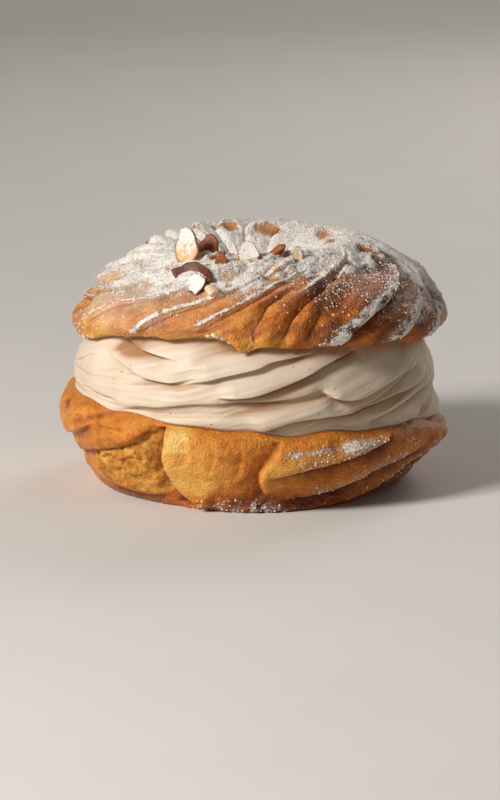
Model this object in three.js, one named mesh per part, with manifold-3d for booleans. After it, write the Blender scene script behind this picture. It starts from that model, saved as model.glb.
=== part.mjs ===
// A Paris-Brest for one person: a ring of baked choux pastry, cut level into a base
// and a lid, with praline cream piped between them and almond flakes on the lid.
//
// Millimetres, +Z up. The origin is on the plane that the pastry rests on, under the
// middle of its box. Azimuths are degrees round +Z: 0 is +X, -90 is the front, -Y.

import * as THREE from 'three';
import { mergeVertices } from 'three/addons/utils/BufferGeometryUtils.js';
import Module from 'manifold-3d';

// ---------------------------------------------------------------- driving sizes

const HOLE_RADIUS = 6.6;       // the clear hole through the ring
const SEAT_RADIUS = 35.5;      // the flat underside reaches out to here
const BASE_RADIUS = 43.8;      // the base half way up, before its ridges
const RIM_RADIUS = 42.6;       // the cut edge of the base
const CREAM_RADIUS = 42.9;
const LIP_RADIUS = 42.4;       // the cut edge of the lid
const LID_RADIUS = 44.0;       // the lid at its widest, before its ridges
const CREST_RADIUS = 22.8;
const CREST_HEIGHT = 57.3;
const GAP = 0.4;               // left between the cream and the pastry
const CENTRE_SHIFT = [-0.1, -0.2]; // puts the middle of the box over the origin

const COLUMNS = 76;            // azimuth steps round the base and the cream
const DEG = Math.PI / 180;

// Each list below has a value every 30 degrees from azimuth -180.
const KNOT_STEP = 30;
const RIM_HEIGHT = [22.6, 22.4, 21.0, 19.2, 18.6, 17.6, 15.4, 15.4, 16.6, 18.6, 20.4, 21.8];
const LIP_HEIGHT = [35.0, 38.2, 41.0, 40.6, 38.6, 37.2, 36.0, 36.2, 37.4, 38.2, 37.8, 36.0];
const SEAT_SPREAD = [0.8, 0.4, 1.2, 4.2, 1.8, -2.6, -1.2, 0.0, 0.4, 0.0, 0.0, 0.6];
const BELLY_SPREAD = [-0.4, 0.2, 0.6, 1.4, 0.4, -1.4, -1.8, -0.4, 0.6, 0.6, 0.4, 0.0];
const BASE_SPREAD = [0.5, 0.2, -0.2, 0.0, 0.1, 0.2, 0.7, 0.4, -0.2, 0.1, 0.3, 0.0];
const CREAM_SPREAD = [-0.9, 0.0, 0.5, 0.5, 0.4, 0.2, -0.1, 0.3, 0.5, 0.0, 0.3, -0.2];
const LID_SPREAD = [-1.2, -0.4, 0.2, 0.2, 0.3, 0.8, 1.2, 0.9, 0.2, 0.4, 0.0, -0.6];
const SHOULDER_SPREAD = [-4.4, -3.2, -0.8, 0.4, 0.6, 0.2, -0.3, 0.0, 0.2, 0.0, -1.2, -3.4];

// ---------------------------------------------------------------- small helpers

const clamp01 = (x) => Math.min(1, Math.max(0, x));
const mix = (a, b, t) => a + (b - a) * t;
const wrap = (azimuth) => ((azimuth + 180) % 360 + 360) % 360 - 180;
const bump = (x, centre, width) => Math.exp(-(((x - centre) / width) ** 2));

function smoothstep(low, high, x) {
  const t = clamp01((x - low) / (high - low));
  return t * t * (3 - 2 * t);
}

// Repeatable random numbers from 0 to 1.
function randomSource(seed) {
  let state = seed;
  return () => {
    state = (state * 1664525 + 1013904223) % 4294967296;
    return state / 4294967296;
  };
}

// One span of a Catmull-Rom curve, from b to c.
function catmullRom(a, b, c, d, t) {
  const slopeIn = (c - a) / 2;
  const slopeOut = (d - b) / 2;
  const t2 = t * t;
  const t3 = t2 * t;
  return (2 * t3 - 3 * t2 + 1) * b + (t3 - 2 * t2 + t) * slopeIn
    + (3 * t2 - 2 * t3) * c + (t3 - t2) * slopeOut;
}

// A smooth curve through evenly spaced values, with t from 0 to 1.
function spline(values, t) {
  const last = values.length - 1;
  const x = clamp01(t) * last;
  const i = Math.min(Math.floor(x), last - 1);
  const before = values[Math.max(i - 1, 0)];
  const after = values[Math.min(i + 2, last)];
  return catmullRom(before, values[i], values[i + 1], after, x - i);
}

// The same round the whole ring, through a value every KNOT_STEP degrees.
function around(values, azimuth) {
  const count = values.length;
  const x = (wrap(azimuth) + 180) / KNOT_STEP;
  const i = Math.floor(x);
  const at = (k) => values[(k + count) % count];
  return catmullRom(at(i - 1), at(i), at(i + 1), at(i + 2), x - i);
}

// The small rise and fall of a cut edge: [height in mm, waves round the ring, phase factor].
const RIPPLES = [[0.34, 11, 1], [0.26, 17, 2.4]];
const RIM_PHASE = 1.0;
const LIP_PHASE = 3.1;

function ripple(azimuth, phase) {
  return RIPPLES.reduce((sum, [height, waves, factor]) => (
    sum + height * Math.sin(waves * azimuth * DEG + factor * phase)
  ), 0);
}

const rimHeight = (azimuth) => around(RIM_HEIGHT, azimuth) + ripple(azimuth, RIM_PHASE);
const lipHeight = (azimuth) => around(LIP_HEIGHT, azimuth) + ripple(azimuth, LIP_PHASE);

function place(radius, azimuth, z) {
  const x = radius * Math.cos(azimuth * DEG) + CENTRE_SHIFT[0];
  const y = radius * Math.sin(azimuth * DEG) + CENTRE_SHIFT[1];
  return new THREE.Vector3(x, y, z);
}

// ---------------------------------------------------------------- folds

// A fold is a step across a line drawn on the side of the ring. On the left of the
// line's direction the surface swells to a lip, and on its right it dips in under it.
// The line is a list of [azimuth, height]; both ends die away over `fade` mm, and the
// lip is rounded over `roll` mm.
function makeFold({ line, lip, dip, swell = 3, reach = 3, fade = 5, roll = 1.6 }) {
  const points = [];
  const steps = 6 * (line.length - 1);
  for (let i = 0; i <= steps; i += 1) {
    const azimuth = spline(line.map((p) => p[0]), i / steps);
    const height = spline(line.map((p) => p[1]), i / steps);
    points.push([azimuth, height]);
  }
  return { points, lip, dip, swell, reach, fade, roll };
}

const FOLD_EDGE = 0.7;         // half the width over which the step is rounded
const LIP_AT_STEP = 0.5;       // how much of a lip's swell is left right at the step

// How far a fold lifts the surface at one place, in mm.
function foldLift(fold, azimuth, z) {
  const mmPerDegree = CREAM_RADIUS * DEG;
  let nearest = Infinity;
  let side = 1;
  let along = 0;
  let run = 0;
  for (let i = 0; i + 1 < fold.points.length; i += 1) {
    const [startAzimuth, startZ] = fold.points[i];
    const dx = (fold.points[i + 1][0] - startAzimuth) * mmPerDegree;
    const dz = fold.points[i + 1][1] - startZ;
    const px = wrap(azimuth - startAzimuth) * mmPerDegree;
    const pz = z - startZ;
    const length = Math.hypot(dx, dz);
    const t = clamp01((px * dx + pz * dz) / (length * length));
    const distance = Math.hypot(px - dx * t, pz - dz * t);
    if (distance < nearest) {
      nearest = distance;
      side = dx * pz - dz * px;
      along = run + t * length;
    }
    run += length;
  }
  const ends = smoothstep(0, fold.fade, along) * smoothstep(0, fold.fade, run - along);
  const rounding = mix(LIP_AT_STEP, 1, smoothstep(0, fold.roll, nearest));
  const swell = fold.lip * Math.exp(-nearest / fold.swell) * rounding;
  const hollow = -fold.dip * Math.exp(-nearest / fold.reach);
  const signed = side > 0 ? nearest : -nearest;
  return ends * mix(hollow, swell, smoothstep(-FOLD_EDGE, FOLD_EDGE, signed));
}

function foldsLift(folds, azimuth, z) {
  return folds.reduce((sum, fold) => sum + foldLift(fold, azimuth, z), 0);
}

// Gentle swellings: each is [azimuth, height, half width in degrees, half height, lift].
function lobesLift(lobes, azimuth, z) {
  return lobes.reduce((sum, [centre, height, halfWidth, halfHeight, lift]) => (
    sum + lift * bump(wrap(azimuth - centre), 0, halfWidth) * bump(z, height, halfHeight)
  ), 0);
}

// The front's folds are placed one by one. Round the sides and the back, between
// these azimuths, they come in a row.
const BACK_STARTS = 0;
const BACK_ENDS = 168;

// A line that climbs from `low` to `high` over `span` degrees with a sag, cut off
// where it would leave the back.
function climbingLine(azimuth, span, low, high, sag) {
  const first = clamp01((BACK_STARTS - azimuth) / span);
  const last = clamp01((BACK_ENDS - azimuth) / span);
  return [0, 0.25, 0.5, 0.75, 1].map((part) => {
    const t = mix(first, last, part);
    return [azimuth + span * t, mix(low, high, t) - sag * Math.sin(Math.PI * t)];
  });
}

// ---------------------------------------------------------------- the ring mesh

// A closed ring of `columns` sections, each with `rows` points; pointAt(i, j) gives
// the point of column i and row j. Rows run up the outside, inwards over the top,
// down the hole and back out underneath.
function ringGeometry(columns, rows, pointAt) {
  const positions = [];
  const indices = [];
  for (let i = 0; i < columns; i += 1) {
    const nextColumn = (i + 1) % columns;
    for (let j = 0; j < rows; j += 1) {
      const nextRow = (j + 1) % rows;
      const a = i * rows + j;
      const b = nextColumn * rows + j;
      const c = nextColumn * rows + nextRow;
      const d = i * rows + nextRow;
      positions.push(...pointAt(i, j).toArray());
      indices.push(a, b, c, a, c, d);
    }
  }
  const geometry = new THREE.BufferGeometry();
  geometry.setAttribute('position', new THREE.Float32BufferAttribute(positions, 3));
  geometry.setIndex(indices);
  geometry.computeVertexNormals();
  return geometry;
}

const columnAzimuth = (i) => -180 + (360 * i) / COLUMNS;

// The two cut faces, between which the cream lies. Both level out towards the hole.
const BASE_TOP_MIDDLE = 18.8;  // their heights at the hole
const LID_UNDERSIDE_MIDDLE = 38.4;
const CUT_FACE_POWER = 1.5;    // how late on its way out a cut face bends to the edge's height
const RIPPLE_FADE = 10;        // the larger, the sooner the ripple dies away inwards

function cutFace(middle, edgeHeight, phase, azimuth, part) {
  const level = mix(middle, around(edgeHeight, azimuth), part ** CUT_FACE_POWER);
  return level + ripple(azimuth, phase) * Math.min(part, 1) ** RIPPLE_FADE;
}

const baseTop = (azimuth, radius) => (
  cutFace(BASE_TOP_MIDDLE, RIM_HEIGHT, RIM_PHASE, azimuth, radius / RIM_RADIUS)
);
const lidUnderside = (azimuth, radius) => (
  cutFace(LID_UNDERSIDE_MIDDLE, LIP_HEIGHT, LIP_PHASE, azimuth, radius / LIP_RADIUS)
);

// How far the lid's edge hangs down at the one place where the dough ran before it set.
const DRIP = { azimuth: -94, halfWidth: 5.5, depth: 1.6 };
const edgeDrip = (azimuth) => DRIP.depth * bump(wrap(azimuth - DRIP.azimuth), 0, DRIP.halfWidth);

// ---------------------------------------------------------------- the choux base

const BASE_SECTION_RADII = [
  SEAT_RADIUS, 37.4, 39.6, 41.6, BASE_RADIUS, BASE_RADIUS + 1.4, BASE_RADIUS + 1.0, RIM_RADIUS,
];
const BASE_SECTION_RISE = [0, 0.06, 0.2, 0.38, 0.58, 0.77, 0.93, 1];
const BELLY_AT = 0.4;          // where the belly is on the section, and half its width there
const BELLY_HALF_WIDTH = 0.25;
const BASE_FACE_ROWS = 20;
const BASE_TOP_RADII = [34, 20, HOLE_RADIUS + 0.9];
const BASE_UNDERSIDE_RADII = [HOLE_RADIUS + 1.6, 24];

const BASE_FOLDS = [
  // the lobe at the far left, and the flap beside it that hangs over the torn crumb
  { line: [[-180, 12.6], [-171, 12.8], [-162, 13.8], [-154, 15.5], [-145, 18.5]],
    lip: 1.3, dip: 1.0, swell: 4, reach: 2.4, roll: 2.2 },
  { line: [[-176, 7.0], [-162, 9.4], [-148, 11.6], [-134, 14.2], [-127, 16.6], [-121, 20.4]],
    lip: 1.4, dip: 1.9, swell: 3.5, reach: 2.6, roll: 1.8 },
  // the crack between the torn part and the front lobe
  { line: [[-118, 22], [-117, 17.3], [-118, 13.2], [-117, 9.5], [-116, 5.4], [-115, 0]],
    lip: 2.0, dip: 2.4, swell: 5, reach: 2.4, roll: 2.6 },
  // the valley where the right part begins, and the piped ridges that climb from it
  { line: [[-80, 19], [-84, 14.6], [-88, 9], [-85, 3]],
    lip: 1.5, dip: 1.7, swell: 2.4, reach: 3.4, fade: 3 },
  { line: [[-86, 8.8], [-76, 10.9], [-69, 11.7], [-62, 12.9], [-52, 14.9], [-42, 17.4]],
    lip: 2.3, dip: 2.6, swell: 2.6, reach: 2.2, roll: 2.2 },
  { line: [[-82, 2.6], [-70, 4.3], [-60, 5.9], [-49, 9.0], [-34, 11.6], [-18, 15]],
    lip: 2.3, dip: 2.6, swell: 2.6, reach: 2.2, roll: 2.2 },
  { line: [[-62, 0.6], [-46, 3.0], [-32, 6.6], [-18, 10.6], [-4, 14.4]],
    lip: 2.0, dip: 2.2, swell: 2.4, reach: 2.0, roll: 2.0 },
  { line: [[-40, 0.6], [-26, 3.8], [-12, 8.4], [2, 12.8]],
    lip: 1.7, dip: 1.8, swell: 2.4, reach: 2.0, roll: 2.0 },
  // the dark strip along the foot of the torn part
  { line: [[-156, 6.6], [-149, 5.0], [-140, 3.0], [-128, 2.6], [-118, 3.4]],
    lip: 1.0, dip: 0.7, swell: 3, reach: 2 },
];

const BASE_LOBES = [
  [-131, 8.4, 12, 4.4, 1.1],
  [-103, 9.5, 11, 8.5, 1.3],
  [-71.5, 17.4, 4.5, 1.6, 0.8],
  [180, 6.0, 26, 4.5, -0.8],
  [-170, 5.6, 7, 1.7, 1.0],
];

// Round the rest of the ring the ridges follow the nozzle: the first one's azimuth, the
// degrees between two, the degrees that each one climbs over, and the height it starts at.
const BASE_PIPING = { first: -40, end: 190, every: 20, span: 43, low: 2 };

function pipedBaseFolds() {
  const random = randomSource(21);
  const folds = [];
  for (let start = BASE_PIPING.first; start < BASE_PIPING.end; start += BASE_PIPING.every) {
    const azimuth = start + 5 * (random() - 0.5);
    const rim = around(RIM_HEIGHT, azimuth + BASE_PIPING.span);
    const line = climbingLine(azimuth, BASE_PIPING.span, BASE_PIPING.low, rim, 0);
    const depth = 1.5 + 0.5 * random();
    folds.push({ line, lip: depth, dip: depth * 1.2, swell: 2.4, reach: 2.2, roll: 2.0 });
  }
  return folds;
}

const baseFolds = [...BASE_FOLDS, ...pipedBaseFolds()].map(makeFold);

function baseRow(azimuth, j) {
  if (j < BASE_FACE_ROWS) {
    const t = j / (BASE_FACE_ROWS - 1);
    const rim = rimHeight(azimuth);
    const z = rim * spline(BASE_SECTION_RISE, t);
    const held = smoothstep(0, 2.5, z) * smoothstep(0, 2, rim - z);
    const aboveSeat = smoothstep(0, BELLY_AT, t);
    const spread = mix(around(SEAT_SPREAD, azimuth), around(BASE_SPREAD, azimuth), aboveSeat)
      + around(BELLY_SPREAD, azimuth) * bump(t, BELLY_AT, BELLY_HALF_WIDTH);
    const lift = foldsLift(baseFolds, azimuth, z) + lobesLift(BASE_LOBES, azimuth, z);
    return [spline(BASE_SECTION_RADII, t) + spread + lift * held, z];
  }
  const k = j - BASE_FACE_ROWS;
  if (k < BASE_TOP_RADII.length) {
    return [BASE_TOP_RADII[k], baseTop(azimuth, BASE_TOP_RADII[k])];
  }
  return [BASE_UNDERSIDE_RADII[k - BASE_TOP_RADII.length], 0];
}

function chouxBase() {
  const rows = BASE_FACE_ROWS + BASE_TOP_RADII.length + BASE_UNDERSIDE_RADII.length;
  return ringGeometry(COLUMNS, rows, (i, j) => {
    const azimuth = columnAzimuth(i);
    const [radius, z] = baseRow(azimuth, j);
    return place(radius, azimuth, z);
  });
}

// ---------------------------------------------------------------- the praline cream

const CREAM_FACE_ROWS = 24;
const CREAM_SECTION_RADII = [42.0, 43.1, 43.2, 43.0, 42.4, 41.2, 39.4];
const CREAM_TOP_RADII = [28, HOLE_RADIUS + 1.4];
const CREAM_BOTTOM_RADII = [HOLE_RADIUS + 1.4, 28];

const CREAM_FOLDS = [
  // the hollow under the lid at the left, between two strands
  { line: [[-142, 40], [-138, 39.3], [-128, 37.2], [-120, 36.2], [-113, 35.2], [-106, 34.2]],
    lip: 1.2, dip: 2.4, swell: 2.5, reach: 3.2 },
  { line: [[-84, 39.6], [-88, 38.9], [-100, 37.4], [-110, 34.4]],
    lip: 1.0, dip: 1.2, reach: 2.5 },
  { line: [[-150, 36.8], [-140, 34.4], [-132, 32.6], [-126, 31.1], [-120, 30.6], [-114, 30.8],
    [-106, 32.4]],
  lip: 1.1, dip: 1.6, swell: 2.8, reach: 2.2 },
  { line: [[-112, 30.3], [-104, 31.7], [-97, 33.3], [-88, 35.0], [-84, 36.1], [-75, 37.2], [-66, 38.2]],
    lip: 1.2, dip: 1.8, swell: 2.6, reach: 2.2 },
  { line: [[-161, 25.0], [-154, 25.4], [-146, 25.2], [-136, 24.4]],
    lip: 1.0, dip: 1.7, reach: 1.8, fade: 4 },
  // the long strands that climb from the front to the right
  { line: [[-112, 30.6], [-108, 30.0], [-102, 28.4], [-96, 28.8], [-90, 29.1], [-84, 30.5],
    [-75, 32.6], [-66, 34], [-54, 34.8], [-40, 36]],
  lip: 1.9, dip: 2.6, reach: 2.2, roll: 2.2 },
  { line: [[-136, 22.2], [-128, 24], [-120, 24.5], [-108, 26], [-92, 26.8], [-78, 27.6], [-66, 30]],
    lip: 1.0, dip: 1.0, reach: 3.2 },
  { line: [[-62, 28.2], [-70, 27], [-80, 25.2], [-92, 23.8], [-106, 23.2], [-120, 22.4], [-132, 21.4]],
    lip: 1.2, dip: 0.8, reach: 1.8 },
  { line: [[-71, 30.6], [-66, 27.9], [-60, 26.6], [-54, 27.2], [-46, 29.1], [-38, 30.8], [-26, 33.4]],
    lip: 1.6, dip: 2.1, swell: 3.2, reach: 2.0, roll: 2.0 },
  { line: [[-60, 24.4], [-52, 25.4], [-44, 27.6], [-36, 29.4], [-24, 32.2]],
    lip: 0.9, dip: 1.2, swell: 2.2, reach: 1.6 },
  { line: [[-91, 18.6], [-84, 21], [-77, 22.6], [-68, 23.1], [-60, 23.0], [-51, 24.3],
    [-42, 25.8], [-30, 27], [-18, 29.4]],
  lip: 1.9, dip: 2.5, reach: 2.2, roll: 2.2 },
  { line: [[-53, 19.6], [-44, 21.5], [-36, 22.8], [-24, 25], [-14, 27]],
    lip: 1.1, dip: 1.6, swell: 2.2, reach: 1.8 },
  { line: [[-30, 16.5], [-25, 19.6], [-20, 22.6], [-13, 25.4], [-6, 28.6]],
    lip: 1.3, dip: 1.9, reach: 2.4 },
  { line: [[-26, 21], [-14, 22.8], [0, 25.2], [18, 29]], lip: 0.7, dip: 1.5, swell: 2.5, reach: 2.2 },
  { line: [[-176, 29.4], [-168, 30.2], [-158, 32.4], [-150, 35]], lip: 0.8, dip: 1.2, swell: 3, reach: 2.2 },
];
// where a strand stands out beyond the rim of the base at the right
const CREAM_LOBES = [[2, 17.0, 17, 2.8, 2.1], [-32, 17.6, 4, 1.4, 0.9]];

// Round the back the folds follow one another, each climbing from the base to the lid.
const CREAM_PIPING = { first: -85, end: 186, every: 17, span: 72 };

function pipedCreamFolds() {
  const random = randomSource(7);
  const folds = [];
  for (let start = CREAM_PIPING.first; start < CREAM_PIPING.end; start += CREAM_PIPING.every) {
    const azimuth = start + 8 * (random() - 0.5);
    const low = around(RIM_HEIGHT, azimuth) + 0.5;
    const high = around(LIP_HEIGHT, azimuth + CREAM_PIPING.span);
    const line = climbingLine(azimuth, CREAM_PIPING.span, low, high, 1.5 * (random() - 0.3));
    const depth = 0.9 + 0.5 * random();
    folds.push({ line, lip: depth, dip: depth * 1.3, swell: 2.8, reach: 2.2, fade: 9, roll: 2.4 });
  }
  return folds;
}

const creamFolds = [...CREAM_FOLDS, ...pipedCreamFolds()].map(makeFold);

function creamRow(azimuth, j) {
  const floor = (radius) => baseTop(azimuth, radius) + GAP;
  const ceiling = (radius) => lidUnderside(azimuth, radius) - GAP;
  if (j < CREAM_FACE_ROWS) {
    const t = j / (CREAM_FACE_ROWS - 1);
    const smooth = spline(CREAM_SECTION_RADII, t);
    const z = mix(floor(smooth), ceiling(smooth), t);
    const held = smoothstep(0, 0.12, t) * smoothstep(0, 0.12, 1 - t);
    const lift = around(CREAM_SPREAD, azimuth) + foldsLift(creamFolds, azimuth, z);
    const lobes = lobesLift(CREAM_LOBES, azimuth, z) * smoothstep(0, 0.05, t);
    const radius = smooth + lift * held + lobes;
    return [radius, mix(floor(radius), ceiling(radius), t)];
  }
  const k = j - CREAM_FACE_ROWS;
  if (k < CREAM_TOP_RADII.length) {
    return [CREAM_TOP_RADII[k], ceiling(CREAM_TOP_RADII[k])];
  }
  const radius = CREAM_BOTTOM_RADII[k - CREAM_TOP_RADII.length];
  return [radius, floor(radius)];
}

function pralineCream() {
  const rows = CREAM_FACE_ROWS + CREAM_TOP_RADII.length + CREAM_BOTTOM_RADII.length;
  return ringGeometry(COLUMNS, rows, (i, j) => {
    const azimuth = columnAzimuth(i);
    const [radius, z] = creamRow(azimuth, j);
    return place(radius, azimuth, z);
  });
}

// ---------------------------------------------------------------- the choux lid

// Each piped ridge: the azimuth where it ends at the lower edge, the degrees it turns on
// its way up to the shoulder, its depth in mm, where on the section it begins and where it
// has died away, and the part of its width where its lip is. A plate has its lip at the far
// side, a soft pleat nearer its middle.
const PLATE = 0.92;
const LID_RIDGES = [
  [-158, 35, 1.3, 0.05, 0.42, PLATE], [-126, 21, 1.9, 0.0, 0.66, PLATE], [-107, 15, 1.5, 0.08, 0.50, 0.86],
  [-90, 4, 1.5, -0.1, 0.44, 0.55], [-82, 9, 1.8, -0.1, 0.62, 0.58], [-74, 9, 1.2, -0.1, 0.32, 0.55],
  [-62, 31, 2.6, -0.1, 0.66, PLATE], [-38, 36, 2.9, -0.1, 0.90, PLATE], [-18, 38, 2.7, -0.1, 1.2, 0.88],
  [2, 40, 2.4, -0.1, 1.2, 0.86], [22, 41, 2.2, -0.1, 1.2, 0.84], [43, 42, 2.1, -0.1, 1.2, 0.84],
  [64, 43, 2.0, -0.1, 1.2, 0.82], [84, 45, 1.9, -0.1, 1.2, 0.8], [104, 48, 1.8, -0.1, 1.2, 0.78],
  [120, 52, 1.8, -0.1, 1.2, 0.76], [135, 61, 1.8, -0.1, 1.2, 0.8], [150, 65, 1.5, 0.1, 0.6, PLATE],
];
// Gentle swellings: azimuth, place on the section, half width, half height on it, lift.
const LID_LOBES = [
  [-178, 0.19, 13, 0.05, -2.6],
  [100, 0.56, 34, 0.12, 0.9],
  [164, 0.42, 22, 0.1, -1.1],
];

// where the columns run across a ridge: up to its lip, and one on its falling side
const RIDGE_STEPS = [0, 0.14, 0.42, 0.74, 1];
const FALLING_STEP = 0.6;
const RIDGE_TOP = 0.7;         // where the lip is on the crest, where the ridges are rounder
const RIDGE_SLANT = 1.5;       // mm that a ridge runs sideways for each mm that it climbs
const RIDGE_BEND = 1.7;        // above 1, a ridge rises steeply at first and then leans over
const LID_FACE_ROWS = 14;
const LID_UNDERSIDE_RADII = [14, 21, 28, 35, 41.2];
const SHOULDER_AT = 0.3;       // where the shoulder and the crest are on the section
const CREST_AT = 0.625;

// The lid's section from its cut edge, over the crest and down into the hole.
function lidSection(azimuth, t) {
  const lip = lipHeight(azimuth) - edgeDrip(azimuth);
  const spread = around(LID_SPREAD, azimuth);
  const shoulder = around(SHOULDER_SPREAD, azimuth);
  const radii = [
    LIP_RADIUS + spread * 0.6 + edgeDrip(azimuth) * 0.5, LID_RADIUS + spread,
    41.4 + shoulder, 36.9 + shoulder * 0.93, 31 + shoulder * 0.8,
    CREST_RADIUS + shoulder * 0.15, 14.8, 8.6, HOLE_RADIUS + 1.2,
  ];
  const heights = [
    lip, mix(lip, 46.4, 0.45), 47.4 + shoulder * 0.1, 51.3 + shoulder * 0.1, 54.6 + shoulder * 0.15,
    CREST_HEIGHT + shoulder * 0.2, 54.4, 48, lidUnderside(azimuth, HOLE_RADIUS + 1.2),
  ];
  return [spline(radii, t), spline(heights, t)];
}

// How far a ridge of even slant has turned, in degrees, at each place on the section.
function ridgeTurns() {
  const steps = 80;
  const turns = [0];
  let [radius, z] = lidSection(-60, 0);
  for (let i = 1; i <= steps; i += 1) {
    const t = i / steps;
    const [nextRadius, nextZ] = lidSection(-60, t);
    const slant = RIDGE_SLANT * (1 - smoothstep(CREST_AT - 0.1, CREST_AT + 0.1, t));
    const run = Math.hypot(nextRadius - radius, nextZ - z);
    turns.push(turns[i - 1] + (slant * run) / (nextRadius * DEG));
    [radius, z] = [nextRadius, nextZ];
  }
  return turns;
}

const turns = ridgeTurns();
const evenTurn = (t) => spline(turns, t);

// Azimuth where a ridge ends: its own slant up to the shoulder, and an even one from there.
function ridgeEnd([edge, own], t) {
  const atShoulder = evenTurn(SHOULDER_AT);
  const climb = Math.min(evenTurn(t) / atShoulder, 1) ** RIDGE_BEND;
  return edge + own * climb + Math.max(evenTurn(t) - atShoulder, 0);
}

// How strongly the ridges show: full on the flank, less on the crest, none in the hole.
const RIDGE_STRENGTH = [0.5, 0.9, 1, 0.95, 0.85, 0.7, 0.6, 0.3, 0];

function ridgeDepth([, , depth, starts, ends], t) {
  const shows = smoothstep(starts, starts + 0.1, t) * (1 - smoothstep(ends - 0.14, ends, t));
  return depth * spline(RIDGE_STRENGTH, t) * mix(0.1, 1, shows);
}

const MEAN_SWELL = 0.6;        // the part of a ridge's depth that lies below the section

// The swell across one ridge: a slow rise to the lip, then a fall to the groove.
function ridgeSwell(u, lip) {
  const power = mix(1.5, 0.7, smoothstep(0.55, 0.68, lip));
  const angle = u < lip ? 1 - u / lip : (u - lip) / (1 - lip);
  return Math.cos((Math.PI / 2) * Math.min(angle, 1)) ** power;
}

// 1 at the left of the crest, where sugar has filled the grooves, and 0 elsewhere.
const FILLED = { azimuth: -134, halfWidth: 34, share: 0.85 };

function underSugar(azimuth, t) {
  return smoothstep(0.32, 0.42, t) * bump(wrap(azimuth - FILLED.azimuth), 0, FILLED.halfWidth);
}

function lidPoint(ridge, step, t) {
  const count = LID_RIDGES.length;
  const own = LID_RIDGES[ridge];
  const previous = LID_RIDGES[(ridge + count - 1) % count];
  const lip = mix(own[5], Math.min(own[5], RIDGE_TOP), smoothstep(0.38, CREST_AT, t));
  const u = step < RIDGE_STEPS.length ? lip * RIDGE_STEPS[step] : mix(lip, 1, FALLING_STEP);
  const start = ridgeEnd(previous, t);
  const width = (ridgeEnd(own, t) - start + 360) % 360;
  const azimuth = wrap(start + width * u);
  const [radius, z] = lidSection(azimuth, t);
  const [aheadRadius, aheadZ] = lidSection(azimuth, Math.min(t + 0.01, 1));
  const [behindRadius, behindZ] = lidSection(azimuth, Math.max(t - 0.01, 0));
  const tangentLength = Math.hypot(aheadRadius - behindRadius, aheadZ - behindZ);
  const outRadius = (aheadZ - behindZ) / tangentLength;
  const outZ = -(aheadRadius - behindRadius) / tangentLength;
  const depth = mix(ridgeDepth(previous, t), ridgeDepth(own, t), smoothstep(0, 0.3, u));
  const height = depth * (1 - FILLED.share * underSugar(azimuth, t));
  const lobes = lobesLift(LID_LOBES, azimuth, t);
  const lift = height * (ridgeSwell(u, lip) - MEAN_SWELL) + lobes;
  const edge = smoothstep(0, 0.06, t);
  return place(radius + outRadius * lift, azimuth, z + outZ * lift * edge);
}

function lidGeometry() {
  const perRidge = RIDGE_STEPS.length + 1;
  const columns = LID_RIDGES.length * perRidge;
  const rows = LID_FACE_ROWS + LID_UNDERSIDE_RADII.length;
  return ringGeometry(columns, rows, (i, j) => {
    const ridge = Math.floor(i / perRidge);
    const step = i % perRidge;
    if (j < LID_FACE_ROWS) {
      return lidPoint(ridge, step, j / (LID_FACE_ROWS - 1));
    }
    const k = j - LID_FACE_ROWS;
    const radius = LID_UNDERSIDE_RADII[k];
    const [outer, inner] = [0, 1].map((t) => {
      const point = lidPoint(ridge, step, t);
      return Math.atan2(point.y - CENTRE_SHIFT[1], point.x - CENTRE_SHIFT[0]) / DEG;
    });
    const back = (k + 1) / (LID_UNDERSIDE_RADII.length + 1);
    const azimuth = wrap(inner + wrap(outer - inner) * back);
    return place(radius, azimuth, lidUnderside(azimuth, radius));
  });
}

// ---------------------------------------------------------------- almond flakes

// [azimuth, place on the lid's section, heading, tilt, length, width for a length of 1, curl]
const ALMONDS = [
  [-125, 0.585, 100, 68, 8.8, 0.62, 0.05],
  [-121, 0.67, 90, 74, 6.0, 0.85, 0.1],
  [-112, 0.62, 15, 16, 6.6, 0.62, 0.06],
  [-116, 0.51, 8, 12, 10.0, 0.62, 0.2],
  [-112, 0.43, 78, 20, 4.8, 1.25, 0.03],
  [-105, 0.555, 100, 66, 4.6, 0.6, 0.06],
  [-92, 0.6, 90, 40, 6.6, 0.72, 0.05],
  [-74, 0.65, 20, 34, 6.2, 0.72, 0.16],
  [-67, 0.575, 80, 60, 4.6, 0.5, 0.05],
  [-59, 0.61, 0, 24, 3.6, 0.6, 0.1],
  [-60, 0.49, 20, 14, 4.2, 0.5, 0.05],
  [100, 0.44, 150, 14, 7.0, 0.62, 0.12],
  [34, 0.36, 40, 12, 6.6, 0.62, 0.12],
  [150, 0.46, 100, 12, 6.4, 0.62, 0.12],
];
// [azimuth, place on the section, size]
const NIBS = [[-104, 0.36, 3.2], [128, 0.4, 2.4], [66, 0.34, 2.2]];
const FLAKE_THICKNESS = 0.9;
const FLAKE_SIDES = 9;
const FLAKE_SINK = 0.9;        // how deep its lowest point sits in the crust

// A point on the lid, and the directions out of it, round it and up its slope.
function lidSpot(azimuth, t) {
  const at = (spotAzimuth, spotT) => {
    const [radius, z] = lidSection(spotAzimuth, spotT);
    return place(radius, spotAzimuth, z);
  };
  const point = at(azimuth, t);
  const round = at(azimuth + 1, t).sub(at(azimuth - 1, t)).normalize();
  const slope = at(azimuth, t + 0.01).sub(at(azimuth, t - 0.01)).normalize();
  return { point, round, slope, out: round.clone().cross(slope).normalize() };
}

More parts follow.
